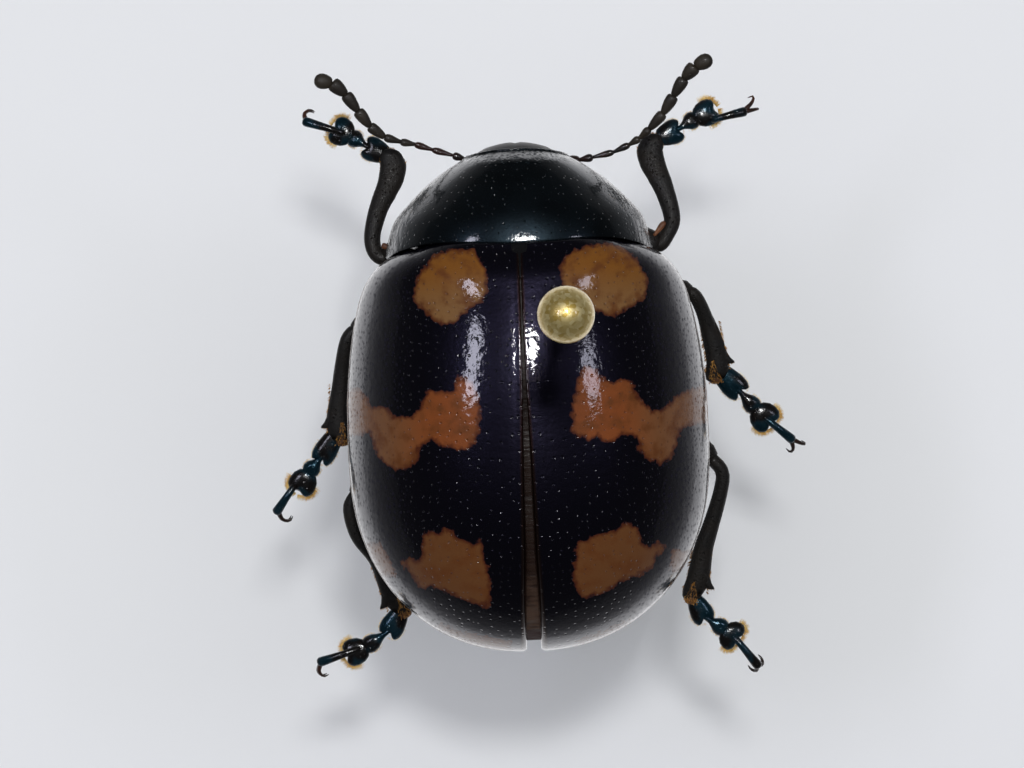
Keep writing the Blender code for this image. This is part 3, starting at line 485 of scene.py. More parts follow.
# %% Lay a grid over rows and columns of points
def lay_shell(bm, points, extra=None, from_middle=False):
    rows, columns = points.shape[:2]
    across = np.concatenate([np.zeros((rows, 1)), np.linalg.norm(np.diff(points, axis=1), axis=2).cumsum(axis=1)], axis=1)
    if from_middle:
        across -= across[:, columns // 2][:, None]
    along = np.concatenate([np.zeros((1, columns)), np.linalg.norm(np.diff(points, axis=0), axis=2).cumsum(axis=0)])
    values = {"across": across, "along": along, **(extra or {})}
    layers = {name: bm.verts.layers.float.new(name) for name in values}
    grid = bmesh.ops.create_grid(bm, x_segments=columns - 1, y_segments=rows - 1, size=0.5)["verts"]
    for vertex in grid:
        column = round((vertex.co.x + 0.5) * (columns - 1))
        row = round((vertex.co.y + 0.5) * (rows - 1))
        vertex.co = points[row, column]
        for name, layer in layers.items():
            vertex[layer] = float(values[name][row, column])
    return grid


def smooth_step(value, low, high):
    share = np.clip((value - low) / (high - low), 0.0, 1.0)
    return share * share * (3 - 2 * share)


def superellipse(share, power):
    return np.maximum(0.0, 1.0 - np.abs(share) ** power) ** (1.0 / power)


# %% [markdown]
# The wing cases' outline, seen from above, is two superellipse arcs that meet at the widest line, and
# their back line is a third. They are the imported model's own curves, so the shell lies on its solids.

# %% The form of the wing cases
HALF_WIDTH, WIDEST_Y = 4.3, -4.6
FRONT_REACH, FRONT_POWER = 4.75, 4.0
REAR_REACH, REAR_POWER = 5.12, 2.25
TOP_HEIGHT, TOP_Y = 3.75, -4.2


def case_half_width(y):
    ahead = np.maximum(y - WIDEST_Y, 0) / FRONT_REACH
    behind = np.maximum(WIDEST_Y - y, 0) / REAR_REACH
    return HALF_WIDTH * np.where(y > WIDEST_Y, superellipse(ahead, FRONT_POWER), superellipse(behind, REAR_POWER))


def case_height(y):
    ahead, behind = np.maximum(y - TOP_Y, 0), np.maximum(TOP_Y - y, 0) / 5.52
    return np.where(y > TOP_Y, TOP_HEIGHT - 0.045 * ahead ** 2 - 0.14 * smooth_step(y, -0.9, 0.0), TOP_HEIGHT * superellipse(behind, 2.3))


def margin_height(y):
    return 0.009 * (y - WIDEST_Y) ** 2


def slit_half_width(y):
    return 0.012 + 0.026 * smooth_step(-y, 1.6, 3.6) + 0.040 * np.maximum(-3.5 - y, 0)


def junction(x):
    """Where the neck shield's rear edge meets the wing cases, seen from above."""
    return np.interp(np.abs(x), (0, 0.9, 1.5, 1.9, 2.2, 2.45, 2.6, 2.8, 2.93, 3.05, 3.2),
                     (-0.10, -0.06, -0.02, 0.0, -0.01, -0.05, -0.085, -0.13, -0.18, -0.24, -0.32))


print("widest:", float(case_half_width(np.array(WIDEST_Y))), "top:", float(case_height(np.array(TOP_Y))))

# %% Rows of the wing case, evenly spaced along its outline
CASE_ROWS, CASE_COLUMNS = 128, 84
fine = np.sin(np.linspace(0, math.pi / 2, 6000))
case_y = -0.03 + (WIDEST_Y - REAR_REACH + 0.03) * fine
case_y = case_y[case_half_width(case_y) >= slit_half_width(case_y)]
outline = case_half_width(case_y)
run = np.concatenate([[0], np.hypot(np.diff(case_y), np.diff(outline)).cumsum()])
row_y = np.interp(np.linspace(0, run[-1], CASE_ROWS), run, case_y)
row_w = case_half_width(row_y)
row_w[-1] = slit_half_width(row_y[-1])
slope = np.gradient(row_w, row_y)
row_out = np.stack([1 / np.hypot(1, slope), -slope / np.hypot(1, slope)], axis=1)
print("wing case outline:", round(float(run[-1]), 2), "mm long, rear end at", round(float(row_y[-1]), 2))

# %% [markdown]
# Across, a wing case starts inside the slit with a short wall, rounds over a narrow raised bead, follows
# the dome, dips into a fine groove before the margin's bead, and turns in below as a narrow ledge. The
# offsets of the rims shrink to nothing at the tip, where all columns meet in one point.

# %% Points across one wing case
SLIT_WALL = [(-0.11, -0.34), (-0.10, -0.20), (-0.07, -0.10), (-0.02, -0.025)]
SLIT_BEAD = [(0.02, 0.0), (0.06, 0.0), (0.11, -0.001), (0.15, -0.004), (0.19, -0.001)]
MARGIN = [(-0.020, 0.19), (-0.028, 0.14), (-0.002, 0.095), (0.012, 0.045), (0.004, -0.01), (-0.04, -0.05),
          (-0.14, -0.08), (-0.30, -0.15), (-0.48, -0.27), (-0.52, -0.36)]


SHOULDER = 0.6
OUTLINE_TRIM = ((0.3, 1.1, 1.5, 2.0, 2.8, 3.7, 5.2, 6.5, 7.5, 8.2, 9.0, 9.7),
                (0.99, 0.975, 0.970, 0.972, 0.983, 0.998, 1.003, 1.014, 1.018, 1.018, 1.01, 1.0))
CASE_RIM = np.concatenate([np.zeros(len(SLIT_WALL + SLIT_BEAD)),
                           np.linspace(0.05, 0.95, CASE_COLUMNS - len(SLIT_WALL + SLIT_BEAD) - len(MARGIN)), np.ones(len(MARGIN))])


def wing_case_points():
    height, base, slit = case_height(row_y), margin_height(row_y), slit_half_width(row_y)
    room = row_w - slit
    rim = np.clip(room / 0.55, 0.0, 1.0)
    lean = rim * np.clip((slit - 0.05) / 0.14, 0.0, 1.0)
    square = 2.0 + SHOULDER * (1 - smooth_step(-row_y, 0.05, 1.4))
    rows = []
    for i in range(CASE_ROWS):
        reach, power = max(row_w[i], 1e-6), square[i]
        points = []
        for dx, dz in SLIT_WALL + SLIT_BEAD:
            x = slit[i] + dx * (rim[i] if dx > 0 else lean[i])
            points.append((x, base[i] + height[i] * float(superellipse(min(1.0, x / reach), power)) + dz * rim[i]))
        start = math.asin(min(1.0, (slit[i] + 0.27 * rim[i]) / reach) ** (power / 2))
        stop = math.pi / 2 - 0.085 ** (power / 2) * rim[i]
        for angle in np.linspace(start, max(start, stop), CASE_COLUMNS - len(SLIT_WALL + SLIT_BEAD) - len(MARGIN)):
            points.append((row_w[i] * math.sin(angle) ** (2 / power), base[i] + height[i] * abs(math.cos(angle)) ** (2 / power)))
        flat = [(x, row_y[i], z) for x, z in points]
        for out, up in MARGIN:
            push = out * rim[i]
            lift = up * rim[i] * min(1.0, height[i] / 0.8)
            flat.append((row_w[i] + row_out[i, 0] * push, row_y[i] + row_out[i, 1] * push, base[i] + lift))
        rows.append(flat)
    table = np.array(rows, float)
    near = smooth_step(table[:, :, 1], -0.5, -0.03) * (1 - smooth_step(table[:, :, 0], 2.3, 2.64))
    table[:, :, 1] += (junction(table[:, :, 0]) + 0.03) * near
    table[:, :, 0] *= np.interp(-table[:, :, 1], *OUTLINE_TRIM)
    return table


def with_front_lip(points):
    lips = []
    for ahead, drop in ((0.11, 0.62), (0.07, 0.30), (0.03, 0.09)):
        lip = points[0].copy()
        middle = np.array([1.2, 0.0, 0.6])
        lip[:, 0] += (middle[0] - lip[:, 0]) * drop * 0.12
        lip[:, 2] += (middle[2] - lip[:, 2]) * drop * 0.25
        lip[:, 1] += ahead
        lips.append(lip)
    return np.concatenate([np.array(lips), points])


case_points = with_front_lip(wing_case_points())
print("wing case grid:", case_points.shape)

# %% [markdown]
# The patches are measured as outlines in plan, as the eye above sees them. A vertex's plan place is its
# shadow on the level of the widest line, cast from the camera, because the dome stands nearer to the eye.
# The signed distance to an outline is the distance to its nearest edge, taken positive inside.

# %% Outlines of the patches
PATCHES = {
    "left": [
        [(-1.59, -0.08), (-1.06, -0.12), (-0.88, -0.41), (-0.76, -0.69), (-0.80, -1.14), (-0.88, -1.35),
         (-1.27, -1.57), (-1.56, -1.85), (-1.92, -1.91), (-2.16, -1.74), (-2.45, -1.42), (-2.59, -1.20),
         (-2.54, -1.0), (-2.45, -0.68), (-2.12, -0.27), (-1.87, -0.13)],
        [(-1.62, -3.09), (-1.32, -3.15), (-1.18, -3.32), (-1.10, -3.59), (-1.03, -3.90), (-1.09, -4.21),
         (-1.05, -4.38), (-1.15, -4.56), (-1.18, -4.71), (-1.40, -4.91), (-1.68, -4.90), (-1.84, -4.75),
         (-1.94, -4.86), (-2.10, -4.74), (-2.22, -4.64), (-2.36, -4.69), (-2.58, -4.83), (-2.56, -4.97),
         (-2.62, -5.16), (-2.81, -5.27), (-3.15, -5.35), (-3.26, -5.23), (-3.45, -5.11), (-3.58, -4.93),
         (-3.65, -4.69), (-3.73, -4.39), (-3.88, -4.46), (-4.40, -4.46), (-4.40, -3.30), (-4.04, -3.30),
         (-3.88, -3.33), (-3.75, -3.53), (-3.67, -3.75), (-3.30, -3.75), (-3.22, -3.89), (-3.17, -4.01),
         (-2.98, -4.0), (-2.72, -4.02), (-2.54, -3.85), (-2.41, -3.62), (-2.38, -3.43), (-2.21, -3.42),
         (-1.87, -3.46), (-1.67, -3.45), (-1.64, -3.28)],
        [(-2.56, -6.80), (-2.29, -6.77), (-2.20, -6.87), (-2.03, -6.73), (-1.84, -6.79), (-1.73, -6.91),
         (-1.57, -7.01), (-1.39, -7.12), (-1.19, -7.03), (-1.12, -7.15), (-1.09, -7.37), (-1.03, -7.66),
         (-0.97, -7.98), (-0.96, -8.27), (-0.99, -8.65), (-1.08, -8.67), (-1.34, -8.57), (-1.62, -8.49),
         (-1.76, -8.44), (-1.95, -8.31), (-2.16, -8.21), (-2.35, -8.13), (-2.63, -8.17), (-2.77, -8.03),
         (-2.85, -7.81), (-3.06, -7.61), (-3.13, -7.47), (-2.86, -7.38), (-2.72, -7.48), (-2.62, -7.43),
         (-2.59, -7.14)],
        [(-3.78, -7.0), (-3.55, -6.98), (-3.20, -7.75), (-3.24, -7.85), (-3.70, -7.85), (-4.2, -7.0)],
        [(-2.20, -8.98), (-1.75, -9.18), (-1.0, -9.36), (-0.55, -9.44), (-0.5, -9.9), (-1.6, -9.9), (-2.6, -9.5)],
    ],
    "right": [
        [(2.03, -0.05), (2.45, -0.17), (2.69, -0.34), (2.85, -0.53), (2.96, -0.75), (3.06, -1.01),
         (3.05, -1.27), (2.88, -1.50), (2.68, -1.61), (2.44, -1.72), (2.31, -1.86), (2.10, -1.86),
         (1.92, -1.78), (1.47, -1.60), (1.10, -1.26), (0.97, -1.0), (0.96, -0.60), (1.09, -0.34),
         (1.31, -0.20), (1.60, -0.12)],
        [(1.42, -2.98), (1.63, -2.98), (1.87, -3.25), (2.10, -3.35), (2.34, -3.31), (2.58, -3.37), (2.65, -3.49),
         (2.62, -3.57), (2.73, -3.76), (2.94, -3.98), (3.03, -4.10), (3.22, -4.08), (3.49, -3.92), (3.56, -3.78),
         (3.85, -3.67), (4.04, -3.60), (4.3, -3.55), (4.55, -3.5), (4.5, -4.5), (4.28, -4.48), (4.05, -4.52),
         (3.83, -4.54), (3.68, -4.63), (3.60, -4.94), (3.50, -5.19), (3.35, -5.35), (3.15, -5.42),
         (3.04, -5.34), (2.84, -5.29), (2.73, -5.12), (2.62, -5.06), (2.67, -4.88), (2.61, -4.74),
         (2.47, -4.69), (2.25, -4.70), (2.13, -4.81), (2.03, -4.88), (1.84, -4.80), (1.72, -4.70),
         (1.49, -4.79), (1.31, -4.69), (1.14, -4.66), (1.07, -4.51), (1.10, -4.23), (1.09, -3.92),
         (1.17, -3.68), (1.22, -3.47), (1.27, -3.26)],
        [(1.15, -7.15), (1.34, -7.11), (1.68, -6.96), (2.04, -6.92), (2.31, -6.73), (2.56, -6.84), (2.65, -6.99),
         (2.66, -7.22), (2.83, -7.35), (3.02, -7.21), (3.21, -7.32), (3.23, -7.44), (3.03, -7.62),
         (2.91, -7.85), (2.71, -7.99), (2.47, -8.08), (2.15, -8.16), (1.91, -8.34), (1.71, -8.45), (1.40, -8.49),
         (1.16, -8.57), (1.07, -8.35), (1.01, -8.13), (0.97, -7.90), (1.05, -7.61), (1.04, -7.37), (1.11, -7.21)],
        [(3.35, -7.40), (3.70, -7.45), (4.2, -7.4), (3.8, -8.1), (3.30, -7.95)],
        [(1.05, -9.50), (1.75, -9.28), (2.30, -9.05), (2.5, -9.2), (1.8, -9.8), (0.9, -9.9)],
    ],
}


def signed_distance(places, outline_points):
    corners = np.array(outline_points)
    nearest = np.full(len(places), 1e9)
    inside = np.zeros(len(places), bool)
    for a, b in zip(corners, np.roll(corners, -1, axis=0)):
        edge = b - a
        share = np.clip(((places - a) @ edge) / (edge @ edge), 0, 1)
        nearest = np.minimum(nearest, np.linalg.norm(places - a - share[:, None] * edge, axis=1))
        crosses = (a[1] > places[:, 1]) != (b[1] > places[:, 1])
        reach = a[0] + (places[:, 1] - a[1]) * edge[0] / (edge[1] if edge[1] else 1e-9)
        inside ^= crosses & (places[:, 0] < reach)
    return np.where(inside, nearest, -nearest)


print("patches:", {side: len(found) for side, found in PATCHES.items()})

# %% [markdown]
# The left wing case is a mirror image of the right one, apart from its patches and a slightly narrower
# plan. The wall gets its thickness from a Solidify modifier, inwards, so the outside stays where it is.

# %% Make both wing cases
def wing_case(side, sign, scale):
    points = case_points.copy()
    points[:, :, 0] *= sign * scale
    flat = points.reshape(-1, 3)
    middle = np.array(VIEW_MIDDLE)
    plan = middle + (flat[:, :2] - middle) * (VIEW_HEIGHT / (VIEW_HEIGHT - flat[:, 2]))[:, None]
    patch = np.max([signed_distance(plan, found) for found in PATCHES[side]], axis=0).reshape(points.shape[:2])
    bm = bmesh.new()
    lay_shell(bm, points, {"patch": np.clip(patch, -1, 1), "rim": np.broadcast_to(CASE_RIM, points.shape[:2])})
    piece = finished(bm, f"wing_case_{side}", WING_CASE, [f"elytron_{side}"], join=0.002)
    wall = piece.modifiers.new("wall", "SOLIDIFY")
    wall.thickness, wall.offset = 0.09 * MM, -1.0
    return piece


wing_case("left", -1, 0.985)
wing_case("right", 1, 1.010)

# %% [markdown]
# The scutellum is the small triangular plate between the wing cases' bases, nearly flush with them. It is
# a ball squashed flat, drawn out to a point behind and tilted with the slope of the dome.

# %% Make the scutellum
bm = bmesh.new()
for vertex in bmesh.ops.create_uvsphere(bm, u_segments=40, v_segments=26, radius=1.0)["verts"]:
    x, y, z = vertex.co
    narrow = 1.0 - 0.85 * (1 - y) / 2
    place_y = -0.36 + y * 0.54
    dome = float(case_height(np.array(place_y)) + margin_height(place_y)) - 2.0 * max(0.0, place_y + 0.06)
    level = math.copysign(abs(z) ** 0.6, z)
    vertex.co = (x * 0.33 * narrow, place_y, dome - 0.05 + level * (0.036 if z > 0 else 0.2))
finished(bm, "scutellum_plate", HEAD_SHELL, ["scutellum"])

# %% [markdown]
# The slit between the wing cases widens behind, and in it the folded flight wings show: a brown film over
# the back, wrinkled crosswise at the rear. It is a grid a little below the dome with the folds pressed in.

# %% Make the folded flight wings
def folded_wings():
    ys, xs = np.linspace(-0.9, -9.42, 260), np.linspace(-1.15, 1.15, 34)
    points = np.zeros((len(ys), len(xs), 3))
    for i, y in enumerate(ys):
        half = max(float(case_half_width(np.array(y))) - 0.5, 0.2)
        top, base = float(case_height(np.array(y))), float(margin_height(y))
        ridge = 0.014 * float(smooth_step(-y, 7.0, 8.6))
        open_share = float(smooth_step(-y, 2.6, 5.2))
        for j, x in enumerate(xs):
            place = min(1.0, half / 1.15) * x
            fold = 0.05 * noise.noise(Vector((place * 2, y * 0.9, 0))) + 0.03 * abs(math.sin(3.1 * place + 0.35 * y))
            wave = 19.0 * y + 4.0 * noise.noise(Vector((place * 2.5, y * 2.0, 3.0)))
            fold = fold * open_share + ridge * math.sin(wave)
            drop = 0.05 + 0.24 * open_share + 0.10 * smooth_step(-y, 8.2, 9.6)
            dome = base + top * math.sqrt(max(0.0, 1 - (place / (half + 0.5)) ** 2))
            points[i, j] = (place, y, max(dome - drop + fold - 0.25 * abs(place) ** 2 * 0.3, -0.3))
    return points


bm = bmesh.new()
lay_shell(bm, folded_wings())
wings = finished(bm, "folded_wings", WING_FILM)
film = wings.modifiers.new("wall", "SOLIDIFY")
film.thickness, film.offset = 0.05 * MM, -1.0

# %% [markdown]
# The neck shield is one plate over the front of the body. In plan it is a superellipse cut off behind,
# and its back slopes down to the head. Its rear edge rolls smoothly down, which catches the lamp as a
# bright line, and its side and front margins are beaded too.

# %% The form of the neck shield
SHIELD_HALF_WIDTH, SHIELD_FRONT = 3.17, 2.04


def shield_half_width(y):
    return SHIELD_HALF_WIDTH * superellipse(np.maximum(y, 0) / 2.4, 1.6) * (1 - 0.028 * smooth_step(y, 0.5, 1.2))


def shield_top(y):
    return 3.0 - 0.07 * y - 0.22 * y ** 2 - 0.40 * smooth_step(y, 1.72, 2.12)


def shield_rows(count):
    fine_y = np.linspace(0.09, SHIELD_FRONT, 3000)
    wide = shield_half_width(fine_y)
    run = np.concatenate([[0], np.hypot(np.diff(fine_y), np.diff(wide)).cumsum()])
    return np.interp(np.linspace(0, run[-1], count), run, fine_y)


def shield_points():
    rear = [(0.02, -0.34), (0.0, -0.18), (0.0, -0.08), (0.006, -0.025), (0.025, -0.006), (0.055, 0.0)]
    rows = [(y, drop) for y, drop in rear] + [(float(y), 0.0) for y in shield_rows(70)]
    rows += [(SHIELD_FRONT + 0.012, 0.022), (SHIELD_FRONT + 0.035, 0.018), (SHIELD_FRONT + 0.05, -0.02), (SHIELD_FRONT + 0.045, -0.09),
             (SHIELD_FRONT - 0.02, -0.16)]
    rim = [(-0.10, -0.30), (-0.06, -0.16), (-0.03, -0.06), (0.0, 0.02), (0.008, 0.07), (-0.012, 0.13)]
    angles = np.linspace(-math.pi / 2 + 0.07, math.pi / 2 - 0.07, 88)
    table = []
    for y, drop in rows:
        inside = min(y, SHIELD_FRONT)
        wide, base = float(shield_half_width(np.array(inside))), 0.12 - 0.1 * inside
        rise = float(shield_top(inside)) - base
        small = 1.0 + drop / 3.0
        bow = 0.12 * float(smooth_step(inside, 0.8, SHIELD_FRONT))
        rear_share = 1.0 - float(smooth_step(inside, 0.0, 0.7))
        sweep = 0.26 * rear_share
        arc = []
        for angle in angles:
            x = wide * math.sin(angle) * small
            shift = bow * math.cos(angle) ** 2 + float(junction(x)) * rear_share
            arc.append((x, y + shift, base + rise * float(superellipse(math.sin(angle), 2.25)) * small))
        left = [(-wide * small - out, y - sweep, base + up) for out, up in rim]
        right = [(wide * small + out, y - sweep, base + up) for out, up in reversed(rim)]
        table.append(left + arc + right)
    return np.array(table, float)


def shield_rim(points):
    """How near a point is to the side or front margin: 0 in the middle, 1 at the margin."""
    side = np.abs(np.linspace(-1, 1, points.shape[1]))[None, :]
    front = smooth_step(points[:, :, 1], 1.2, 2.3)
    return np.maximum(np.broadcast_to(side, front.shape), front)


table = shield_points()
bm = bmesh.new()
lay_shell(bm, table, {"rim": shield_rim(table)}, from_middle=True)
shield = finished(bm, "neck_shield", SHIELD, ["pronotum"])
wall = shield.modifiers.new("wall", "SOLIDIFY")
wall.thickness, wall.offset = 0.08 * MM, -1.0

# %% [markdown]
# The head is set into the neck shield up to the eyes and looks forwards and down. It starts as a ball;
# moving its vertices flattens the face, presses in a groove between the eyes and a pit at each feeler's
# root, and raises a low ridge above each root. The clypeus, the plate above the lip, is a second form.

# %% Make the head
def bulge(vertex_place, centre, radius, amount, direction):
    away = (vertex_place - Vector(centre)).length / radius
    return Vector(direction) * amount * math.exp(-away * away)


bm = bmesh.new()
for vertex in bmesh.ops.create_uvsphere(bm, u_segments=72, v_segments=48, radius=1.0)["verts"]:
    x, y, z = vertex.co
    squarer = 1.0 - 0.10 * max(0.0, y) * abs(z)
    place = Vector((x * 1.36 * squarer, 1.5 + y * 0.90, 0.25 + z * 1.28))
    for side in (-1, 1):
        place += bulge(place, (side * 0.80, 2.05, -0.42), 0.20, 0.15, (0, -1, 0.1))
        place += bulge(place, (side * 0.72, 2.20, -0.10), 0.22, 0.06, (0, 1, 0.4))
        place += bulge(place, (side * 1.15, 1.95, -0.55), 0.30, 0.07, (side, 0.2, 0))
    groove = math.exp(-(place.x / 0.07) ** 2) * smooth_step(place.y, 1.7, 2.1) * smooth_step(-place.z, -1.0, 0.2)
    place.y -= 0.05 * float(groove)
    vertex.co = place
finished(bm, "head_capsule", HEAD_SHELL, ["head"])

# %% Add the plate above the lip, the lip and the jaws
bm = bmesh.new()
for vertex in bmesh.ops.create_uvsphere(bm, u_segments=40, v_segments=26, radius=1.0)["verts"]:
    x, y, z = vertex.co
    wide = 0.72 - 0.16 * max(0.0, -z)
    vertex.co = (x * wide, 1.98 + y * 0.36 + 0.10 * z, -0.62 + z * 0.46 - 0.05 * x * x)
for vertex in bmesh.ops.create_uvsphere(bm, u_segments=36, v_segments=22, radius=1.0)["verts"]:
    x, y, z = vertex.co
    notch = 0.07 * math.exp(-(x / 0.25) ** 2) * max(0.0, -z)
    vertex.co = (x * 0.52, 2.07 + y * 0.22, -1.16 + z * 0.24 + notch)
for side in (-1, 1):
    path = along_line([(side * 0.52, 1.88, -1.10), (side * 0.58, 2.02, -1.38), (side * 0.36, 2.16, -1.62), (side * 0.08, 2.20, -1.70)],
                      (0, 0.04, 0.15, 0.35, 0.55, 0.75, 0.9, 1))
    sizes = ((0, 0), (0.16, 0.13), (0.21, 0.16), (0.20, 0.15), (0.16, 0.12), (0.11, 0.09), (0.06, 0.05), (0, 0))
    limb(bm, [(p, w, t) for p, (w, t) in zip(path, sizes)], sides=16)
finished(bm, "face_plate_lip_and_jaws", HEAD_SHELL, ["mouthparts"])

# %% [markdown]
# Beside the jaws hang two pairs of palps, small jointed fingers that taste the food. Each joint is a
# short limb that swells towards its end.

# %% Add the palps
CONE = ((0.0, 0.0), (0.02, 0.48), (0.14, 0.54), (0.36, 0.74), (0.58, 0.95), (0.74, 1.0), (0.88, 0.88), (0.97, 0.60), (1.0, 0.0))


def bead(bm, a, b, half_width, half_thickness, sides=14, finish=0, shape=CONE, up=(0, 0, 1)):
    a, b = Vector(a), Vector(b)
    limb(bm, [(a.lerp(b, share), half_width * size, half_thickness * size) for share, size in shape], sides, up, finish)


bm = bmesh.new()
for side in (-1, 1):
    joints = [(0.52, 1.66, -1.18), (0.66, 1.76, -1.36), (0.76, 1.88, -1.52), (0.82, 2.00, -1.70), (0.80, 2.10, -1.88)]
    for (a, b), width in zip(zip(joints, joints[1:]), (0.08, 0.10, 0.13, 0.12)):
        bead(bm, (side * a[0], *a[1:]), (side * b[0], *b[1:]), width, width, finish=0)
    small = [(0.22, 1.72, -1.34), (0.28, 1.86, -1.52), (0.30, 1.98, -1.66), (0.27, 2.08, -1.78)]
    for (a, b), width in zip(zip(small, small[1:]), (0.05, 0.065, 0.06)):
        bead(bm, (side * a[0], *a[1:]), (side * b[0], *b[1:]), width, width, finish=0)
finished(bm, "palps", FEELER_ROOT)

# %% [markdown]
# The eyes are upright beans at the sides of the head, half under the neck shield, each hollowed a little
# in front, next to the feeler's root. Their facets are too small to model and are left to the finish.

# %% Make the eyes
for side, sign in (("left", -1), ("right", 1)):
    bm = bmesh.new()
    for vertex in bmesh.ops.create_uvsphere(bm, u_segments=36, v_segments=26, radius=1.0)["verts"]:
        x, y, z = vertex.co
        place = Vector((sign * (1.16 + x * 0.30), 1.70 + y * 0.34, 0.36 + z * 0.54))
        place += bulge(place, (sign * 1.15, 2.08, 0.28), 0.24, 0.10, (0, -1, 0))
        vertex.co = place
    finished(bm, f"eye_bean_{side}", EYE_SHELL, [f"eye_{side}"])

# %% [markdown]
# Each feeler has eleven joints. The first is a stout shaft, the next few are thin cones with reddish
# feet, and the last five are broad matt beads that make a loose club.

# %% Make the feelers
FEELER_LEFT = [(-0.80, 1.94, -0.42), (-1.20, 2.06, -0.46), (-1.49, 2.16, -0.42), (-1.97, 2.31, -0.34), (-2.38, 2.45, -0.25),
               (-2.72, 2.52, -0.16), (-3.10, 2.64, -0.06), (-3.44, 2.91, 0.05), (-3.71, 3.28, 0.15), (-3.98, 3.68, 0.24),
               (-4.29, 3.96, 0.32), (-4.70, 4.05, 0.38)]
FEELER_RIGHT = [(0.86, 1.90, -0.42), (1.52, 1.94, -0.46), (1.84, 1.99, -0.42), (2.34, 2.09, -0.34), (2.72, 2.25, -0.25),
                (2.97, 2.39, -0.16), (3.22, 2.60, -0.06), (3.55, 2.95, 0.06), (3.81, 3.35, 0.17), (4.07, 3.75, 0.28),
                (4.34, 4.03, 0.38), (4.74, 4.21, 0.46)]
JOINT_HALF_WIDTHS = (0.13, 0.10, 0.085, 0.088, 0.095, 0.105, 0.135, 0.15, 0.155, 0.18, 0.19)
BARREL = ((0.0, 0.0), (0.02, 0.48), (0.10, 0.60), (0.3, 0.80), (0.55, 0.95), (0.75, 1.0), (0.90, 0.94), (0.965, 0.75), (0.99, 0.45), (1.0, 0.0))


EGG = ((0.0, 0.0), (0.03, 0.50), (0.12, 0.72), (0.35, 0.93), (0.55, 1.0), (0.75, 0.92), (0.90, 0.66), (0.97, 0.38), (1.0, 0.0))


def feeler(side, points):
    bm = bmesh.new()
    for number, half in enumerate(JOINT_HALF_WIDTHS):
        a, b = Vector(points[number]), Vector(points[number + 1])
        reach = b + (b - a) * 0.04
        shape, flat = (BARREL, 0.75) if number > 5 else (CONE, 0.9)
        shape = EGG if number == 10 else shape
        bead(bm, a, reach, half, half * flat, sides=18, finish=1 if number < 4 else 0, shape=shape)
    finished(bm, f"feeler_{side}", [FEELER, FEELER_ROOT], [f"antenna_{side}"])


feeler("left", FEELER_LEFT)
feeler("right", FEELER_RIGHT)

# %% [markdown]
# From below, the beetle is armoured too: a plate between the front legs, the broad plates of the hind
# chest with a groove down the middle, and five belly rings, each slightly overlapping the next. All are
# limbs of very wide rings, and the steps between the belly rings come from the rings' sizes.

# %% Make the front chest, the hind chest and the belly
bm = bmesh.new()
stations = [((0, 0.06, -0.20), 0, 0), ((0, 0.08, -0.22), 2.3, 0.75), ((0, 0.35, -0.26), 2.42, 0.92), ((0, 0.8, -0.30), 2.25, 1.02),
            ((0, 1.15, -0.34), 1.85, 0.98), ((0, 1.40, -0.38), 1.25, 0.80), ((0, 1.46, -0.40), 0, 0)]
limb(bm, stations, sides=56)
finished(bm, "front_chest", BELLY, ["prosternum"])

bm = bmesh.new()
chest = [(-0.02, 0.0), (-0.03, 0.86), (-0.25, 0.94), (-0.7, 0.985), (-1.3, 1.0), (-2.0, 1.0), (-2.6, 0.985), (-3.0, 0.96), (-3.06, 0.90), (-3.08, 0.0)]
limb(bm, [((0, y, 0.02), max(float(case_half_width(np.array(min(y, -0.3)))) - 0.62, 0.5) * size, 1.55 * size) for y, size in chest], sides=64)
for vertex in bm.verts:
    if vertex.co.z < -0.5:
        vertex.co.z += 0.09 * math.exp(-(vertex.co.x / 0.12) ** 2) - 0.05 * math.exp(-((abs(vertex.co.x) - 1.2) / 0.7) ** 2)
finished(bm, "hind_chest", BELLY, ["thorax"])

bm = bmesh.new()
rings, y = [((0, -2.95, 0.10), 0, 0)], -2.96
for number, length in enumerate((1.85, 1.15, 1.05, 0.95, 0.98)):
    for share, tuck in ((0.0, 0.93), (0.12, 0.985), (0.5, 1.0), (0.92, 1.0), (1.0, 0.965)):
        here = y - length * share
        half = max(float(case_half_width(np.array(here))) - 0.60, 0.25)
        deep = 1.30 * float(superellipse(np.array((here + 3.5) / 6.0), 2.4))
        rings.append(((0, here, 0.12 + 0.25 * max(0.0, (-here - 7.5) / 1.5)), half * tuck, max(deep, 0.25) * tuck))
    y -= length
rings.append(((0, y - 0.02, 0.45), 0, 0))
limb(bm, rings, sides=64)
finished(bm, "belly_rings", BELLY, ["abdomen"])

# %% [markdown]
# A leg has a ball joint at the body, a small ring, a thick thigh, and a shin that curves and widens
# towards its end, where an outer tooth stands out. The foot follows: three joints with two lobes each,
# the third the broadest, and a slender last joint with two hooked claws.

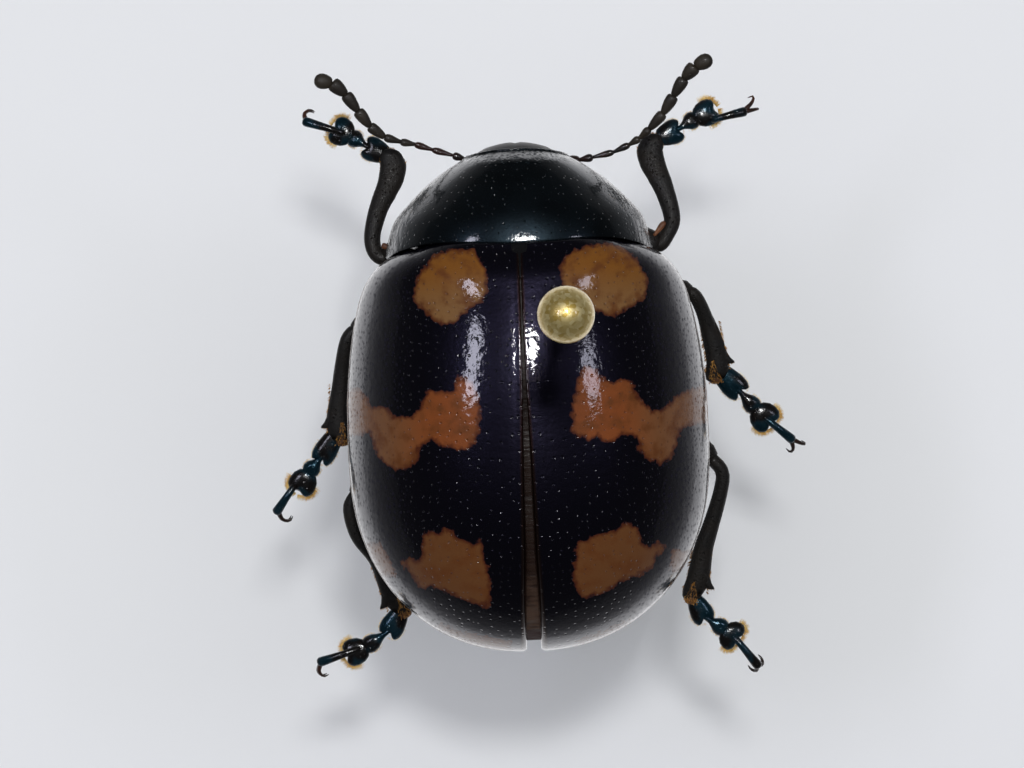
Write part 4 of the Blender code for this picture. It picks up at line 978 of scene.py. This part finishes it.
# %% The six legs: body joint, knee, points along the shin, its end, points along the foot, claw tips
LEGS = {
    "fore_left": [(-0.78, 0.75, -1.42), (-3.27, -0.25, -0.85),
                  [(-3.48, -0.04, -0.87), (-3.51, 0.30, -0.90), (-3.36, 0.89, -1.0), (-3.06, 1.62, -1.2)], (-2.90, 2.41, -1.36),
                  [(-3.10, 2.26, -1.38), (-3.67, 2.54, -1.46), (-3.94, 2.75, -1.54), (-4.43, 3.02, -1.62), (-4.05, 2.81, -1.50), (-5.08, 3.17, -1.55)],
                  [(-4.78, 3.38, -1.70), (-4.80, 3.36, -1.98)]],
    "fore_right": [(0.78, 0.75, -1.42), (3.40, -0.18, -0.85),
                   [(3.51, 0.03, -0.87), (3.70, 0.33, -0.90), (3.675, 0.70, -0.95), (3.517, 1.25, -1.05), (3.29, 1.96, -1.24)], (3.22, 2.54, -1.36),
                   [(3.48, 2.43, -1.38), (4.06, 2.66, -1.46), (4.38, 2.88, -1.54), (4.93, 3.12, -1.62), (4.73, 2.81, -1.50), (5.60, 3.00, -1.50)],
                   [(5.64, 3.32, -1.66), (5.76, 3.02, -1.70)]],
    "mid_left": [(-1.25, -0.95, -1.48), (-4.08, -1.98, -0.95), [(-4.24, -2.26, -1.0), (-4.375, -2.96, -1.25), (-4.46, -3.77, -1.45)], (-4.48, -4.66, -1.62),
                 [(-4.56, -4.37, -1.66), (-5.05, -5.12, -1.76), (-5.28, -5.31, -1.86), (-5.59, -5.83, -1.95), (-5.59, -5.56, -1.85), (-6.11, -6.26, -2.0)],
                 [(-5.70, -6.335, -2.18), (-5.74, -6.32, -2.32)]],
    "mid_right": [(1.25, -0.95, -1.48), (4.14, -1.36, -0.95), [(4.33, -1.70, -1.12), (4.471, -2.15, -1.3), (4.60, -2.73, -1.45)], (4.68, -3.49, -1.62),
                  [(4.68, -3.19, -1.66), (5.31, -3.86, -1.76), (5.58, -4.18, -1.86), (6.00, -4.62, -1.95), (5.69, -4.32, -1.85), (6.46, -4.98, -2.0)],
                  [(6.27, -5.15, -2.20), (6.64, -4.97, -2.20)]],
    "hind_left": [(-1.35, -2.75, -1.42), (-4.18, -5.94, -0.95), [(-4.29, -6.25, -1.02), (-4.118, -6.87, -1.2), (-3.62, -7.56, -1.42)], (-3.09, -8.87, -1.80),
                  [(-3.165, -8.73, -1.80), (-3.56, -9.36, -1.90), (-4.05, -9.58, -2.0), (-4.62, -9.78, -2.08), (-4.15, -9.58, -1.95), (-5.23, -9.91, -2.1)],
                  [(-4.97, -10.20, -2.26), (-5.02, -10.18, -2.40)]],
    "hind_right": [(1.35, -2.75, -1.42), (4.50, -5.40, -0.95),
                   [(4.653, -5.60, -1.0), (4.68, -5.84, -1.05), (4.554, -6.36, -1.2), (4.32, -7.06, -1.4), (4.10, -7.68, -1.57)], (3.87, -8.80, -1.80),
                   [(3.92, -8.71, -1.80), (4.21, -9.31, -1.90), (4.62, -9.48, -2.0), (4.99, -9.78, -2.08), (4.80, -9.59, -1.95), (5.43, -10.42, -2.1)],
                   [(5.41, -10.11, -2.28), (5.16, -10.36, -2.30)]],
}
FOOT_HALF_WIDTHS = {"fore_left": (0.31, 0.222, 0.36), "fore_right": (0.31, 0.222, 0.33), "mid_left": (0.29, 0.222, 0.346),
                    "mid_right": (0.317, 0.222, 0.374), "hind_left": (0.305, 0.222, 0.34), "hind_right": (0.29, 0.222, 0.374)}
print("legs:", list(LEGS))

# %% Make the thigh and the shin
THIGH = ((0.0, 0.0), (0.015, 0.17), (0.05, 0.24), (0.09, 0.22), (0.12, 0.27), (0.28, 0.37), (0.48, 0.42), (0.68, 0.40), (0.84, 0.34), (0.94, 0.30), (0.985, 0.20), (1.0, 0.0))
SHIN = ((0.0, 0.0), (0.008, 0.085), (0.028, 0.135), (0.07, 0.16), (0.14, 0.165), (0.30, 0.175), (0.50, 0.20), (0.66, 0.235),
        (0.78, 0.27), (0.86, 0.28), (0.92, 0.255), (0.96, 0.225), (0.985, 0.16), (1.0, 0.0))


def thigh_and_shin(bm, coxa, knee, bends, end, outward, toothed):
    coxa, knee, end = map(Vector, (coxa, knee, end))
    ball = Matrix.Translation(coxa + Vector((0, 0, 0.12))) @ Matrix.Diagonal((0.52, 0.40, 0.42, 1))
    bmesh.ops.create_uvsphere(bm, u_segments=28, v_segments=18, radius=1.0, matrix=ball)
    lift = Vector((0, 0, 0.10))
    path = along_line([coxa, coxa.lerp(knee, 0.5) + lift, knee], [share for share, _ in THIGH])
    limb(bm, [(p, half, half * 0.82) for p, (_, half) in zip(path, THIGH)], sides=20)
    shares = sorted({share for share, _ in SHIN} | set(np.linspace(0.05, 0.95, 28)))
    widths = np.interp(shares, *zip(*SHIN))
    path = along_line([knee.lerp(coxa, 0.08), knee, *bends, end], shares)
    for _ in range(0 if toothed else 5):
        path = [path[0]] + [p * 0.5 + (before + after) * 0.25 for before, p, after in zip(path, path[1:], path[2:])] + [path[-1]]
    hump = [outward * (0.04 * float(smooth_step(share, 0.55, 0.8)) - 0.10 * float(smooth_step(share, 0.84, 0.95))) for share in shares]
    swell = 1.0 if toothed else 1.14
    limb(bm, [(p + h, wide * swell, min(wide, 0.15 + 0.14 * wide)) for p, h, wide in zip(path, hump, map(float, widths))], sides=24)
    if toothed:
        along = (end - Vector(bends[-1])).normalized()
        corner = [end - along * back + outward * out for back, out in ((1.7, 0.0), (1.15, 0.06), (0.75, 0.13), (0.53, 0.24), (0.43, 0.46))]
        tooth = along_line(corner, (0, 0.06, 0.3, 0.55, 0.75, 0.9, 0.98, 1))
        limb(bm, [(p, s, min(s, 0.11)) for p, s in zip(tooth, (0, 0.08, 0.15, 0.18, 0.15, 0.09, 0.03, 0))], sides=16)
        pad = [(end - along * back + Vector((0, 0, 0.05)), s, s * 0.85) for back, s in
               ((0.55, 0), (0.50, 0.05), (0.36, 0.11), (0.18, 0.155), (0.07, 0.165), (0.0, 0.13), (-0.03, 0.07), (-0.04, 0))]
        limb(bm, [(p - outward * 0.06, wide, thick) for p, wide, thick in pad], sides=18, finish=1)


# %% [markdown]
# A foot joint is heart-shaped: a ball whose outline is drawn out into two round lobes with a cleft
# between them. It is made lying along y, each ring widened to the outline's half width there, and then
# turned to its place by a matrix whose columns are its own side, length and top.

# %% Make one heart-shaped foot joint
HEART = ((0, 0.04, 0.12, 0.3, 0.6, 0.8, 0.92, 1), (0, 0.45, 0.68, 0.85, 1, 0.95, 0.75, 0))
BELL = ((0, 0.05, 0.28, 0.42, 0.58, 0.78, 0.92, 1), (0, 0.26, 0.34, 0.55, 0.88, 1, 0.85, 0))
ROUND_HEART = ((0, 0.04, 0.12, 0.3, 0.55, 0.75, 0.9, 1), (0, 0.35, 0.65, 0.9, 1, 0.95, 0.7, 0))


def heart(bm, a, b, half_width, half_thickness, cleft, outline):
    a, b = Vector(a), Vector(b)
    along = (b - a).normalized()
    up = (Vector((0, 0, 1)) - along * along.z).normalized()
    turn = ring_matrix(a, along, up, 1.0, 1.0) @ Matrix(((1, 0, 0, 0), (0, 0, 1, 0), (0, 1, 0, 0), (0, 0, 0, 1)))
    length = (b - a).length
    lying = Matrix.Rotation(math.pi / 2, 4, "X")
    made = bmesh.ops.create_uvsphere(bm, u_segments=28, v_segments=22, radius=1.0, matrix=lying)["verts"]
    for vertex in made:
        x, y, z = vertex.co
        share, ring = (y + 1) / 2, math.sqrt(max(1 - y * y, 1e-6))
        wide = float(np.interp(share, *outline))
        x, z = x / ring * min(wide, 1.0), z / ring * wide ** 0.7
        part = cleft * math.exp(-(x / 0.35) ** 2) * float(smooth_step(share, 0.4, 1.0))
        dome = half_thickness * (1.0 if z > 0 else 0.55) * (1 - 0.15 * math.exp(-(x / 0.3) ** 2) * share)
        vertex.co = (x * half_width, (share - part) * length, z * dome)
    bmesh.ops.transform(bm, matrix=turn, verts=made)
    return turn, length


def hook(bm, base, along, tip, finish=1):
    base, tip = Vector(base), Vector(tip)
    out = (tip - base) - along * (tip - base).dot(along)
    back = (tip - base).dot(along)
    path = along_line([base - along * 0.05, base + along * (0.5 * back + 0.15) + out * 0.55, base + along * (back + 0.15) + out * 1.02, tip],
                      (0, 0.03, 0.10, 0.2, 0.32, 0.44, 0.56, 0.68, 0.80, 0.90, 0.96, 1))
    sizes = (0, 0.050, 0.062, 0.060, 0.054, 0.048, 0.041, 0.034, 0.026, 0.017, 0.010, 0)
    limb(bm, [(p, s, s) for p, s in zip(path, sizes)], sides=12, finish=finish)


# %% [markdown]
# Each foot joint has a sole of dense golden hair that sticks out round its edge. A hair is a cone of
# three sides, thin enough to be seen only as a fringe. They are set with a seeded random number, so every
# run gives the same fringe.

# %% Set hairs on a foot joint and at the end of a shin
def hair(bm, root, direction, length, radius=0.006):
    direction = Vector(direction).normalized()
    turn = direction.to_track_quat("Z", "Y").to_matrix().to_4x4()
    turn.translation = Vector(root) + direction * length / 2
    bmesh.ops.create_cone(bm, segments=3, radius1=radius, radius2=0.0015, depth=length, cap_ends=True, matrix=turn)


def fringe(bm, turn, length, half_width, outline, count, reach):
    for number in range(count):
        share = 0.42 + 0.57 * math.sqrt((number + random.random()) / count)
        turned = smooth_step(share, 0.45, 0.98)
        for side in (-1, 1):
            root = Vector((side * half_width * 0.96 * float(np.interp(share, *outline)), length * (share - 0.02), random.uniform(-0.06, 0.0)))
            out = Vector((side * (1 - 0.75 * turned), turned, random.uniform(-0.3, 0.1)))
            hair(bm, turn @ root, turn.to_3x3() @ out, reach * random.uniform(0.7, 1.25), 0.007)


def shin_hairs(bm, bend, end, outward, toothed):
    along = (end - bend).normalized()
    for number in range(220):
        spread = random.uniform(-1, 1)
        root = end - outward * (spread * 0.21 + 0.07) - along * (0.03 + 0.34 * spread ** 2 + 0.05 * random.random())
        root.z += random.uniform(-0.10, 0.08)
        hair(bm, root, along - outward * spread * 1.1 + Vector((0, 0, random.uniform(-0.4, 0.4))), random.uniform(0.05, 0.085), 0.009)
    for number in range(260):
        back, side = random.uniform(0.3, 1.5 if toothed else 0.7), random.choice((-1, 1))
        root = end - along * back + outward * (0.03 * (back < 0.9) + side * (0.265 - 0.04 * back))
        root.z += random.uniform(-0.05, 0.05)
        hair(bm, root, outward * side + along * 0.7 + Vector((0, 0, random.uniform(-0.3, 0.3))), random.uniform(0.05, 0.085), 0.009)
    for number in range(150 if toothed else 0):
        back, spread = random.uniform(-0.02, 0.55), random.uniform(-1, 1)
        wide = 0.175 * (1 - max(0.0, back - 0.1) / 0.6)
        root = end - along * back + outward * (spread * wide - 0.06) + Vector((0, 0, 0.20 - 0.07 * spread ** 2))
        hair(bm, root, along * 0.8 + outward * spread * 0.4 + Vector((0, 0, 0.5)), random.uniform(0.03, 0.05), 0.010)
    for number in range(60 if toothed else 0):
        share = random.random()
        root = end + outward * (0.16 + 0.28 * share) - along * (0.44 + 0.02 * share)
        hair(bm, root, along + outward * random.uniform(-0.1, 0.7) + Vector((0, 0, random.uniform(-0.3, 0.3))), random.uniform(0.05, 0.08), 0.009)


# %% Make all six legs
def leg(name, coxa, knee, bends, end, joints, claws):
    bm = bmesh.new()
    node, toothed = f"leg_{name}", "fore" not in name
    bend, end = Vector(bends[-1]), Vector(end)
    along = (end - bend).normalized()
    outward = along.cross(Vector((0, 0, 1))).normalized() * (1 if name in ("fore_left", "mid_left", "hind_left") else -1)
    thigh_and_shin(bm, coxa, knee, bends, end, outward, toothed)
    finished(bm, f"{node}_thigh_and_shin", [LEG, PAD], [f"{node}_femur", f"{node}_tibia"])
    bm, hairs = bmesh.new(), bmesh.new()
    start, first, second, third, root, last = map(Vector, joints)
    wide = FOOT_HALF_WIDTHS[name]
    lobes = ((start.lerp(first, -0.12), first, wide[0], 0.18, HEART, 40),
             (first.lerp(start, 0.30) + Vector((0, 0, 0.06)), second.lerp(first, -0.10), wide[1], 0.06, BELL, 36),
             (second.lerp(third, -0.12), third, wide[2], 0.15, ROUND_HEART, 130))
    for a, b, half, cleft, outline, count in lobes:
        turn, length = heart(bm, a, b, half, 0.17, cleft, outline)
        fringe(hairs, turn, length, half, outline, count, 0.12 if count > 40 else 0.05)
    path = along_line([root + Vector((0, 0, 0.03)), root.lerp(last, 0.45) + Vector((0, 0, 0.15)), last],
                      (0, 0.03, 0.12, 0.3, 0.5, 0.7, 0.85, 0.94, 0.985, 1))
    sizes = (0, 0.07, 0.085, 0.088, 0.095, 0.108, 0.118, 0.12, 0.09, 0)
    limb(bm, [(p, s, s * 0.9) for p, s in zip(path, sizes)], sides=18)
    along = (last - root).normalized()
    for tip in claws:
        hook(bm, last - along * 0.05, along, tip)
    finished(bm, f"{node}_foot", [FOOT, CLAW], [f"{node}_tarsus"])
    finished(hairs, f"{node}_foot_hairs", GOLD_HAIR, join=0.0)
    hairs = bmesh.new()
    shin_hairs(hairs, bend, end, outward, toothed)
    finished(hairs, f"{node}_shin_hairs", BROWN_HAIR, join=0.0)


for name, places in LEGS.items():
    leg(name, *places)

# %% Add the brown skin that shows at the front knees
bm = bmesh.new()
for a, b in (((3.24, 0.06, -0.70), (3.52, 0.40, -0.74)), ((-3.06, -0.02, -0.72), (-3.28, 0.10, -0.74))):
    bead(bm, a, b, 0.075, 0.07, sides=16)
finished(bm, "knee_skin", KNEE_SKIN)

# %% [markdown]
# The pin is polished steel. Its ball is glass-clear lacquer over gold flakes: each flake is a Voronoi cell
# whose random value sets its height and how pale its gold is; the pale flakes are painted glints. A coat over them
# mirrors the room at the rim.

# %% Finishes of the pin, its ball and the foam
def pin_finish():
    finish, shader = new_finish("pin_steel", {"Metallic": 1.0, "Base Color": (0.55, 0.54, 0.52, 1), "Roughness": 0.22})
    place = specimen_place(finish)
    draw = add(finish, "ShaderNodeMapping", {"Vector": place, "Scale": (8.0, 8.0, 0.4)}).outputs[0]
    relief(finish, shader, grain(finish, draw, 2.0, 3.0), 0.004)
    return finish


def ball_finish():
    finish, shader = new_finish("gold_flake_lacquer", {"Roughness": 0.42, "Coat Weight": 1.0, "Coat Roughness": 0.05,
                                                       "Metallic": 0.85})
    flakes = add(finish, "ShaderNodeTexVoronoi", {"Vector": specimen_place(finish), "Scale": 11.0})
    flake_relief_and_painted_glint = add(finish, "ShaderNodeSeparateColor", {0: flakes.outputs["Color"]}).outputs[0]
    # The pale gold flakes are painted glints, standing in for flakes that flash.
    wire(finish, mix(finish, flake_relief_and_painted_glint, (0.62, 0.43, 0.10), (1.0, 0.84, 0.42)), shader.inputs["Base Color"])
    relief(finish, shader, flake_relief_and_painted_glint, 0.045)
    return finish


def foam_finish():
    finish, shader = new_finish("white_foam", {"Roughness": 0.5, "Coat Weight": 0.25, "Coat Roughness": 0.25})
    place = specimen_place(finish)
    cells = add(finish, "ShaderNodeTexVoronoi", {"Vector": place, "Scale": 1.1}, feature="DISTANCE_TO_EDGE").outputs["Distance"]
    wall = step(finish, cells, 0.0, 0.22)
    wire(finish, mix(finish, wall, (0.74, 0.75, 0.76), (0.66, 0.67, 0.69)), shader.inputs["Base Color"])
    relief(finish, shader, calc(finish, "ADD", wall, grain(finish, place, 3.0)), 0.12)
    return finish


PIN, BALL, FOAM = pin_finish(), ball_finish(), foam_finish()
print("finishes:", PIN.name, BALL.name, FOAM.name)

# %% Make the pin and its ball
PIN_X, PIN_Y, BALL_Z = 0.96, -1.87, 11.3
bm = bmesh.new()
pin_rings = [((PIN_X, PIN_Y, z), half, half) for z, half in ((-9.4, 0), (-9.2, 0.05), (-8.6, 0.2), (-8.3, 0.25), (10.4, 0.25), (10.8, 0.25), (10.9, 0.0))]
limb(bm, pin_rings, sides=32, up=(0, 1, 0))
finished(bm, "pin_shaft", PIN, ["stand_pin"])
bm = bmesh.new()
bmesh.ops.create_icosphere(bm, subdivisions=5, radius=0.64, matrix=Matrix.Translation((PIN_X, PIN_Y, BALL_Z)))
finished(bm, "pin_ball", BALL, ["stand_pin_head"])

# %% [markdown]
# The block of white foam that the specimen is pinned to is closed-cell packing foam: a slab with soft,
# dented faces. A subdivided cube is rounded in plan and then dented with noise.

# %% Make the foam block
low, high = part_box("stand_base")
foam_half = (high - low) / 2 / MM
foam_middle = ((low + high) / 2 - SEAM) / MM
bm = bmesh.new()
bmesh.ops.create_cube(bm, size=2.0)
bmesh.ops.subdivide_edges(bm, edges=bm.edges, cuts=26, use_grid_fill=True)
for vertex in bm.verts:
    x, y, z = vertex.co
    reach = max(abs(x), abs(y), 1e-6)
    turn = (abs(x / reach) ** 2.6 + abs(y / reach) ** 2.6) ** (1 / 2.6)
    rounded = 1.0 - 0.035 * smooth_step(abs(z), 0.80, 1.0) * smooth_step(reach, 0.7, 1.0)
    place = Vector((x / turn * foam_half.x * rounded, y / turn * foam_half.y * rounded, z * foam_half.z))
    dent = 0.10 * abs(noise.noise(place * 0.9)) + 0.05 * abs(noise.noise(place * 2.3))
    if z > -0.98:
        place -= Vector((x, y, max(z, 0.0) * 2)).normalized() * dent
    vertex.co = foam_middle + place
finished(bm, "foam_block", FOAM, ["stand_base"])

# %% [markdown]
# The floor is a plain pale sheet, wide enough to reach past the frame from any side.

# %% Lay the floor
bm = bmesh.new()
bmesh.ops.create_grid(bm, x_segments=8, y_segments=8, size=1.5)
bmesh.ops.translate(bm, vec=(0, 0, solid_box[0].z), verts=bm.verts)
mesh = bpy.data.meshes.new("floor")
bm.to_mesh(mesh)
bm.free()
floor = bpy.data.objects.new("floor", mesh)
bpy.context.scene.collection.objects.link(floor)
floor_finish, floor_shader = new_finish("pale_floor", {"Roughness": 0.7})
faint = grain(floor_finish, specimen_place(floor_finish), 0.05)
wire(floor_finish, mix(floor_finish, faint, (0.74, 0.75, 0.765), (0.78, 0.79, 0.80)), floor_shader.inputs["Base Color"])
mesh.materials.append(floor_finish)
floor.visible_glossy = False
print("floor at", round(solid_box[0].z, 4))

# %% [markdown]
# At the end the solids' box is printed.

# %% Print the solids' box
print("solids:", [tuple(round(v * 1000, 2) for v in c) for c in solid_box])
